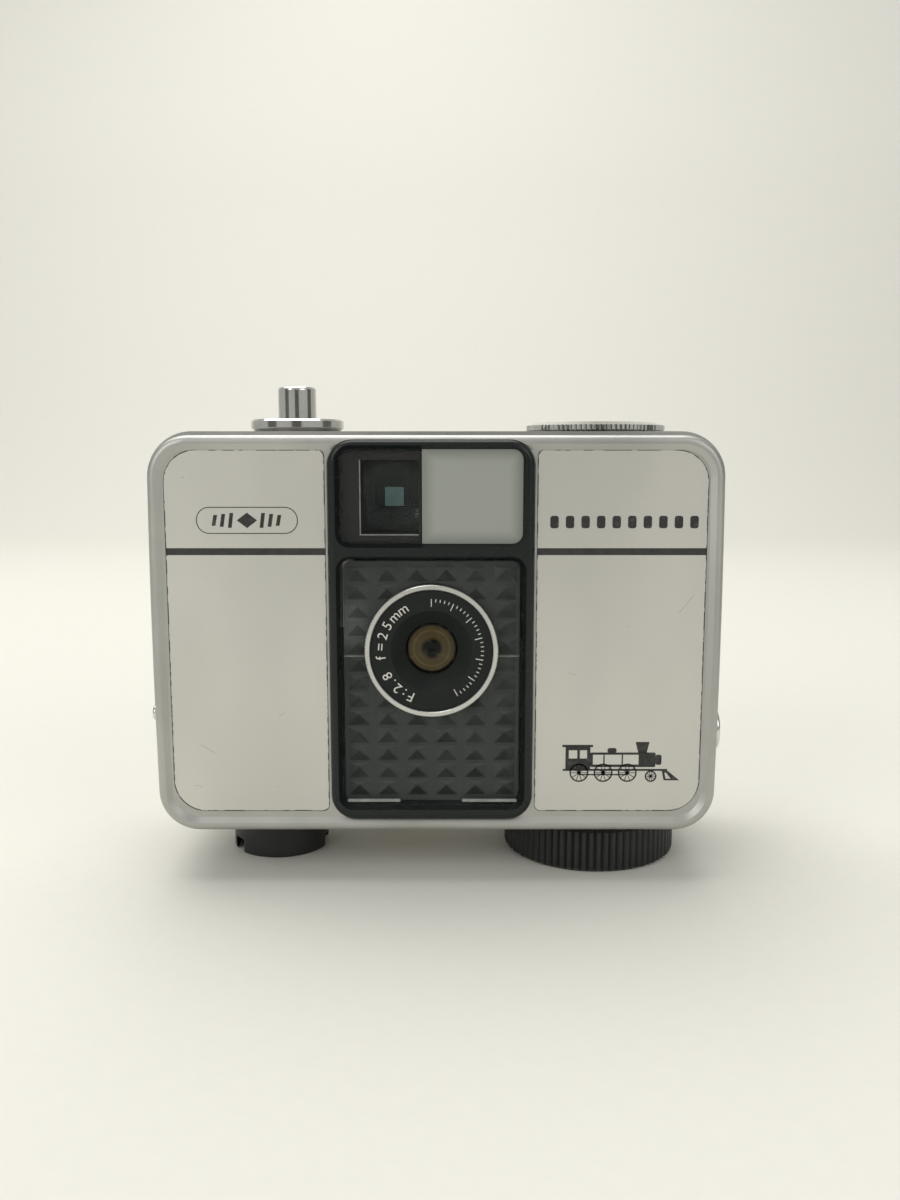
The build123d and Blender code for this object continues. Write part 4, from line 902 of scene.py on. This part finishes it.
cover = to_front([round_lens(0.0, COVER_CORNER, COVER_THICKNESS)],
                 CELL_LOW.y + COVER_THICKNESS / 2, "cell_cover", CLEAR)
floor = to_front([round_lens(FLOOR_INSET, FLOOR_CORNER, FLOOR_THICKNESS)],
                 CELL_HIGH.y - FLOOR_THICKNESS / 2, "cell_floor", PRISMS)
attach(floor, "camera")
edge = to_front(lip_and_seam(), CELL_LOW.y + COVER_THICKNESS + 0.2, "cell_lip", painted_highlight_finish())
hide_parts("cell_window")
for piece in (cover, edge):
    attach(piece, "camera")
print("cell faces:", [len(piece.data.polygons) for piece in (cover, floor, edge)])

# %% [markdown]
# **Printing.** The plates carry thin black printing: a plain device in an outline on the left, a
# row of film perforations and a small steam engine on the right.

# %% Printing ink
def ink(name, tone, fade):
    f = Finish(name)
    uneven = f.noise(1.6, detail=4.0)
    f.skin(Base_Color=f.mix(uneven.ramp(0.45, 0.8), tone, fade), Roughness=0.45 + uneven * 0.2,
           Normal=f.bump(uneven, 0.01, 0.3))
    return f.material


BLACK_INK = ink("black_ink", (0.016, 0.016, 0.016, 1), (0.06, 0.06, 0.058, 1))
WHITE_INK = ink("white_ink", (0.62, 0.62, 0.58, 1), (0.42, 0.42, 0.39, 1))
PLATE_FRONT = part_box("left_face_plate")[0].y / MM
PRINT_THICKNESS = 0.03
PRINT_Y = PLATE_FRONT - 0.01
DEVICE_X = (-35.6, -20.5)
DEVICE_Z = (54.1, 58.1)
DEVICE_LINE = 0.13
DEVICE_CORNER = 1.95
DEVICE_STROKES = [(-4.9, 0.8), (-3.7, 0.95), (-2.5, 1.1), (2.2, 1.1), (3.4, 0.95), (4.6, 0.8)]


def slanted(x, z, lean):
    """Parallelogram from (low, high) pairs, leaning right."""
    return [(x[0], z[0]), (x[1], z[0]), (x[1] + lean, z[1]), (x[0] + lean, z[1])]


def device():
    """Outline with a diamond between slanted strokes."""
    x, z, line = DEVICE_X, DEVICE_Z, DEVICE_LINE
    middle = ((x[0] + x[1]) / 2, (z[0] + z[1]) / 2)
    loops = [[plate(x, z, DEVICE_CORNER),
              plate((x[0] + line, x[1] - line), (z[0] + line, z[1] - line), DEVICE_CORNER - line)]]
    loops.append([[(middle[0] - 1.5, middle[1]), (middle[0], middle[1] - 1.15),
                   (middle[0] + 1.5, middle[1]), (middle[0], middle[1] + 1.15)]])
    for offset, height in DEVICE_STROKES:
        low = middle[0] + offset - 0.35
        loops.append([slanted((low, low + 0.55), (middle[1] - height, middle[1] + height), 0.3)])
    return [flat(shape, PRINT_THICKNESS) for shape in loops]


ENGINE_PLACE = (18.9, 16.0)
ENGINE_WHEELS = [(2.9, 1.45), (6.6, 1.45), (10.3, 1.45), (13.9, 0.9)]
WHEEL_RIM = 0.22
WHEEL_SPOKES = 5
SPOKE_HALF_WIDTH = 0.05


def wheel(x, z, radius):
    """Rim, hub and spokes of one wheel."""
    shapes = [[circle(x, z, radius), circle(x, z, radius - WHEEL_RIM)], [circle(x, z, radius * 0.22, 16)]]
    reach, w = radius - 0.15, SPOKE_HALF_WIDTH
    for i in range(WHEEL_SPOKES):
        angle = math.pi * i / WHEEL_SPOKES
        c, s = math.cos(angle), math.sin(angle)
        corners = [(reach, w), (-reach, w), (-reach, -w), (reach, -w)]
        shapes.append([[(x + a * c - b * s, z + a * s + b * c) for a, b in corners]])
    return shapes


def engine(left, rail):
    """Side view of a small steam engine, from its left end and the rail it stands on."""
    def at(points):
        return [(left + x, rail + z) for x, z in points]

    def bar(x, z, corner=0.0):
        return at(plate(x, z, corner, 4))

    shapes = [
        [bar((0.3, 5.0), (5.5, 5.85))],
        [bar((0.8, 4.6), (2.0, 5.55)), bar((1.3, 2.6), (3.7, 5.0)), bar((3.0, 4.1), (3.7, 5.0))],
        [bar((4.55, 14.6), (2.35, 4.65), 0.3), bar((5.0, 6.6), (2.75, 4.3)), bar((6.8, 9.4), (2.75, 4.3)),
         bar((9.6, 12.0), (2.75, 4.3))],
        [bar((7.2, 8.6), (4.6, 5.35), 0.33)],
        [at([(11.9, 4.6), (13.2, 4.6), (13.6, 6.3), (11.5, 6.3)])],
        [bar((0.4, 16.4), (1.75, 2.05))],
        [bar((14.6, 15.5), (2.7, 4.3), 0.3)],
        [at([(15.6, 1.75), (16.5, 1.75), (18.3, 0.25), (15.9, 0.25)]),
         at([(16.0, 1.45), (16.25, 1.45), (17.0, 0.5), (16.2, 0.5)])],
        [bar((3.0, 10.2), (1.05, 1.25))],
    ]
    for x, radius in ENGINE_WHEELS:
        shapes += wheel(left + x, rail + radius, radius)
    return [flat(shape, PRINT_THICKNESS) for shape in shapes]


left_print = to_front(device(), PRINT_Y, "left_printing", BLACK_INK)
right_print = to_front(engine(*ENGINE_PLACE), PRINT_Y, "right_printing", BLACK_INK)
print("printing faces:", [len(piece.data.polygons) for piece in (left_print, right_print)])

# %% Film perforations
PERFORATIONS = 10
PERFORATION_SPAN = (16.9, 38.9)
PERFORATION_SIZE = (1.25, 1.85)
PERFORATION_MIDDLE = 55.85
PERFORATION_PITCH = (PERFORATION_SPAN[1] - PERFORATION_SPAN[0] - PERFORATION_SIZE[0]) / (PERFORATIONS - 1)


def perforation_row():
    n = Nest("perforation_row", Count=PERFORATIONS, Pitch=PERFORATION_PITCH)
    count, pitch = n.given("Count", "Pitch")
    points = n.laid(n.line(count), n.vector(n.index() * pitch, 0.0, 0.0))
    tablet = n.node("GeometryNodeCurvePrimitiveQuadrilateral", {},
                    {"Width": PERFORATION_SIZE[0], "Height": PERFORATION_SIZE[1]})
    tablet = n.node("GeometryNodeFilletCurve", {"mode": "POLY"}, {"Curve": tablet, "Count": 3,
                                                                  "Radius": 0.35})
    filled = n.node("GeometryNodeFillCurve", {}, {"Curve": tablet})
    solid = n.node("GeometryNodeExtrudeMesh", {}, {"Mesh": filled, "Offset Scale": PRINT_THICKNESS,
                                                   "Individual": False})
    back = n.node("GeometryNodeFlipFaces", {}, {"Mesh": filled})
    row = n.copies(points, n.together(solid, back))
    first = PERFORATION_SPAN[0] + PERFORATION_SIZE[0] / 2
    return n.grown(row, BLACK_INK, (first, PRINT_Y + 0.01, PERFORATION_MIDDLE))


perforations = perforation_row()
for piece in (left_print, right_print, perforations):
    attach(piece, "camera")

# %% [markdown]
# **Lens marks.** The black ring round the glass is lettered in white with the focal length and the
# widest stop, and a scale of ticks runs round the rest of it. Letters are placed one by one on a
# circle, reading clockwise with their feet towards the glass.

# %% Lens lettering
NAME_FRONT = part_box("name_ring")[0].y / MM
LETTER_SIZE = 2.15
LETTER_RADIUS = 6.95


def letter(character, clock):
    """One character at a clock angle in degrees, 0 at the top."""
    text = bpy.data.curves.new("letter", "FONT")
    text.body = character
    text.size = LETTER_SIZE
    text.align_x = "CENTER"
    text.extrude = PRINT_THICKNESS / 2
    text.resolution_u = 3
    mesh = mesh_of(bpy.data.objects.new("letter", text))
    angle = math.radians(clock)
    turn = Matrix.Translation((LENS_MIDDLE[0] + LETTER_RADIUS * math.sin(angle),
                               LENS_MIDDLE[1] + LETTER_RADIUS * math.cos(angle), 0))
    mesh.transform(turn @ Matrix.Rotation(-angle, 4, "Z"))
    return mesh


def lettering(word, first, last):
    step = (last - first) / (len(word) - 1)
    return [letter(c, first + i * step) for i, c in enumerate(word)]


letters = to_front(lettering("f=25mm", 262, 326) + lettering("F:2.8", 204, 240), NAME_FRONT - 0.01,
                   "lens_lettering", WHITE_INK)
print("lettering faces:", len(letters.data.polygons))

# %% Lens scale
def scale_ticks():
    """Ticks round the right half of the ring, every fifth one longer."""
    n = Nest("lens_scale", Count=31, First=0.0, Step=5.0, Radius=7.9, Short=0.45, Long=1.15)
    count, first, step, radius, short, long = n.given("Count", "First", "Step", "Radius", "Short", "Long")
    angle = (first + n.index() * step) * (math.pi / 180)
    place = n.vector(angle.math("SINE") * radius, angle.math("COSINE") * radius, 0.0)
    points = n.laid(n.line(count), place)
    fifth = n.index().math("MODULO", 5.0).math("LESS_THAN", 0.5)
    length = short + fifth * (long - short)
    tick = n.moved(n.box(0.13, 1.0, PRINT_THICKNESS), Translation=(0, -0.5, 0))
    ring = n.copies(points, tick, Rotation=n.spin(angle * -1.0), Scale=n.vector(1.0, length, 1.0))
    return n.grown(ring, WHITE_INK, (LENS_MIDDLE[0], NAME_FRONT - 0.01, LENS_MIDDLE[1]))


ticks = scale_ticks()
for piece in (letters, ticks):
    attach(piece, "camera")

# %% [markdown]
# **Dial.** A band of fine raised points is rolled into the sloping edge of the aperture dial.

# %% Dial knurl
DIAL_LOW, DIAL_HIGH = (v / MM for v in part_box("aperture_dial"))
DIAL_MIDDLE = ((DIAL_LOW + DIAL_HIGH) / 2).x, ((DIAL_LOW + DIAL_HIGH) / 2).y


def dial_knurl():
    n = Nest("dial_knurl", Count=96, Radius=9.75, Rise=0.14, Width=0.34)
    count, radius, rise, width = n.given("Count", "Radius", "Rise", "Width")
    row = n.index().math("MODULO", 2.0)
    angle = n.index() * (2 * math.pi) / count
    spread = radius + row * 0.65
    place = n.vector(angle.math("SINE") * spread, angle.math("COSINE") * spread, row * -0.19)
    points = n.laid(n.line(count), place)
    stud = n.node("GeometryNodeMeshCone", {}, {"Vertices": 4, "Radius Top": 0.08, "Depth": rise,
                                               "Radius Bottom": width})
    ring = n.copies(points, stud, Rotation=n.spin(angle * -1.0))
    return n.grown(ring, CHROME, (*DIAL_MIDDLE, DIAL_HIGH.z - 0.28), facing_front=False)


knurl = dial_knurl()
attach(knurl, "aperture_dial")

# %% [markdown]
# ** Winding knob.** Each rib of the big knob carries a small pale chip at its lower corner, the
# chips a little different in size.

# %% Worn rib ends
KNOB_LOW, KNOB_HIGH = (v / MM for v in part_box("winding_knob"))
KNOB_MIDDLE = ((KNOB_LOW + KNOB_HIGH) / 2).x, ((KNOB_LOW + KNOB_HIGH) / 2).y
PALE_RIB_ENDS = ink("worn_edge", (0.05, 0.054, 0.052, 1), (0.17, 0.175, 0.17, 1))


def rib_ends():
    n = Nest("knob_rib_ends", Count=75, Radius=13.83, Size=0.46, Seed=11)
    count, radius, size, seed = n.given("Count", "Radius", "Size", "Seed")
    angle = (n.index() + 0.22) * (2 * math.pi) / count
    place = n.vector(angle.math("COSINE") * radius, angle.math("SINE") * radius, 0.0)
    points = n.laid(n.line(count), place)
    uneven = n.chance(0.55, 1.0, seed)
    chip = n.moved(n.box(size, size, size * 0.8), Rotation=(0, math.pi / 4, 0))
    ring = n.copies(points, chip, Rotation=n.spin(angle), Scale=n.vector(1.0, uneven, uneven))
    return n.grown(ring, PALE_RIB_ENDS, (*KNOB_MIDDLE, 0.42), facing_front=False)


ends = rib_ends()
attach(ends, "winding_knob")

# %% [markdown]
# ** Finder.** Looking into the finder from the front, the eye sees a dark tube with a small
# blue-green frame at its far end. A black mask closes the tube down to that frame: a dark sheet
# standing in for the shade inside the tube. The frame glows, as painted light coming through the
# finder, and a thin moulded edge with a painted highlight outlines the front of the tube.

# %% Finder mask
EYE_LOW, EYE_HIGH = (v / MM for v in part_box("eyepiece_frame"))
FINDER_WALL = 0.75
MASK_Y = 13.4
FRAME_X = (-9.35, -6.05)
FRAME_Z = (56.6, 60.1)
RIM_X = (-11.42, -2.6)
RIM_Z = (53.82, 65.0)
RIM_Y = -15.05
RIM_WIDTH = 0.16


# Painted light: the frame glows teal, standing in for light from the room seen through the eyepiece.
def teal_frame():
    f = Finish("teal_frame")
    haze = f.noise(0.7, detail=3.0)
    f.skin(Base_Color=f.mix(haze, (0.10, 0.17, 0.165, 1), (0.15, 0.24, 0.225, 1)),
           Roughness=0.3 + haze * 0.2, Emission_Strength=1.0,
           Emission_Color=f.mix(haze, (0.07, 0.115, 0.11, 1), (0.09, 0.15, 0.14, 1)))
    return f.material


# The mask is a dark sheet standing in for the shade inside the finder tube.
mask = to_front([flat([plate((EYE_LOW.x + FINDER_WALL, EYE_HIGH.x - FINDER_WALL),
                             (EYE_LOW.z + FINDER_WALL, EYE_HIGH.z - FINDER_WALL)),
                       plate(FRAME_X, FRAME_Z, 0.25)], 0.6)], MASK_Y, "finder_shade_mask", BLACKENED)
painted_glow_frame = to_front([flat([plate(FRAME_X, FRAME_Z, 0.25)], 0.3)], MASK_Y, "finder_frame", teal_frame())
# The finder's edge takes the painted highlight finish.
rim = to_front([flat([[(RIM_X[0], RIM_Z[1]), (RIM_X[0], RIM_Z[0]), (RIM_X[1], RIM_Z[0]),
                       (RIM_X[1], RIM_Z[0] + RIM_WIDTH), (RIM_X[0] + RIM_WIDTH, RIM_Z[0] + RIM_WIDTH),
                       (RIM_X[0] + RIM_WIDTH, RIM_Z[1])]], 0.3)], RIM_Y, "finder_edge", painted_highlight_finish())
for piece in (mask, painted_glow_frame, rim):
    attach(piece, "camera")
print("finder faces:", [len(piece.data.polygons) for piece in (mask, painted_glow_frame, rim)])
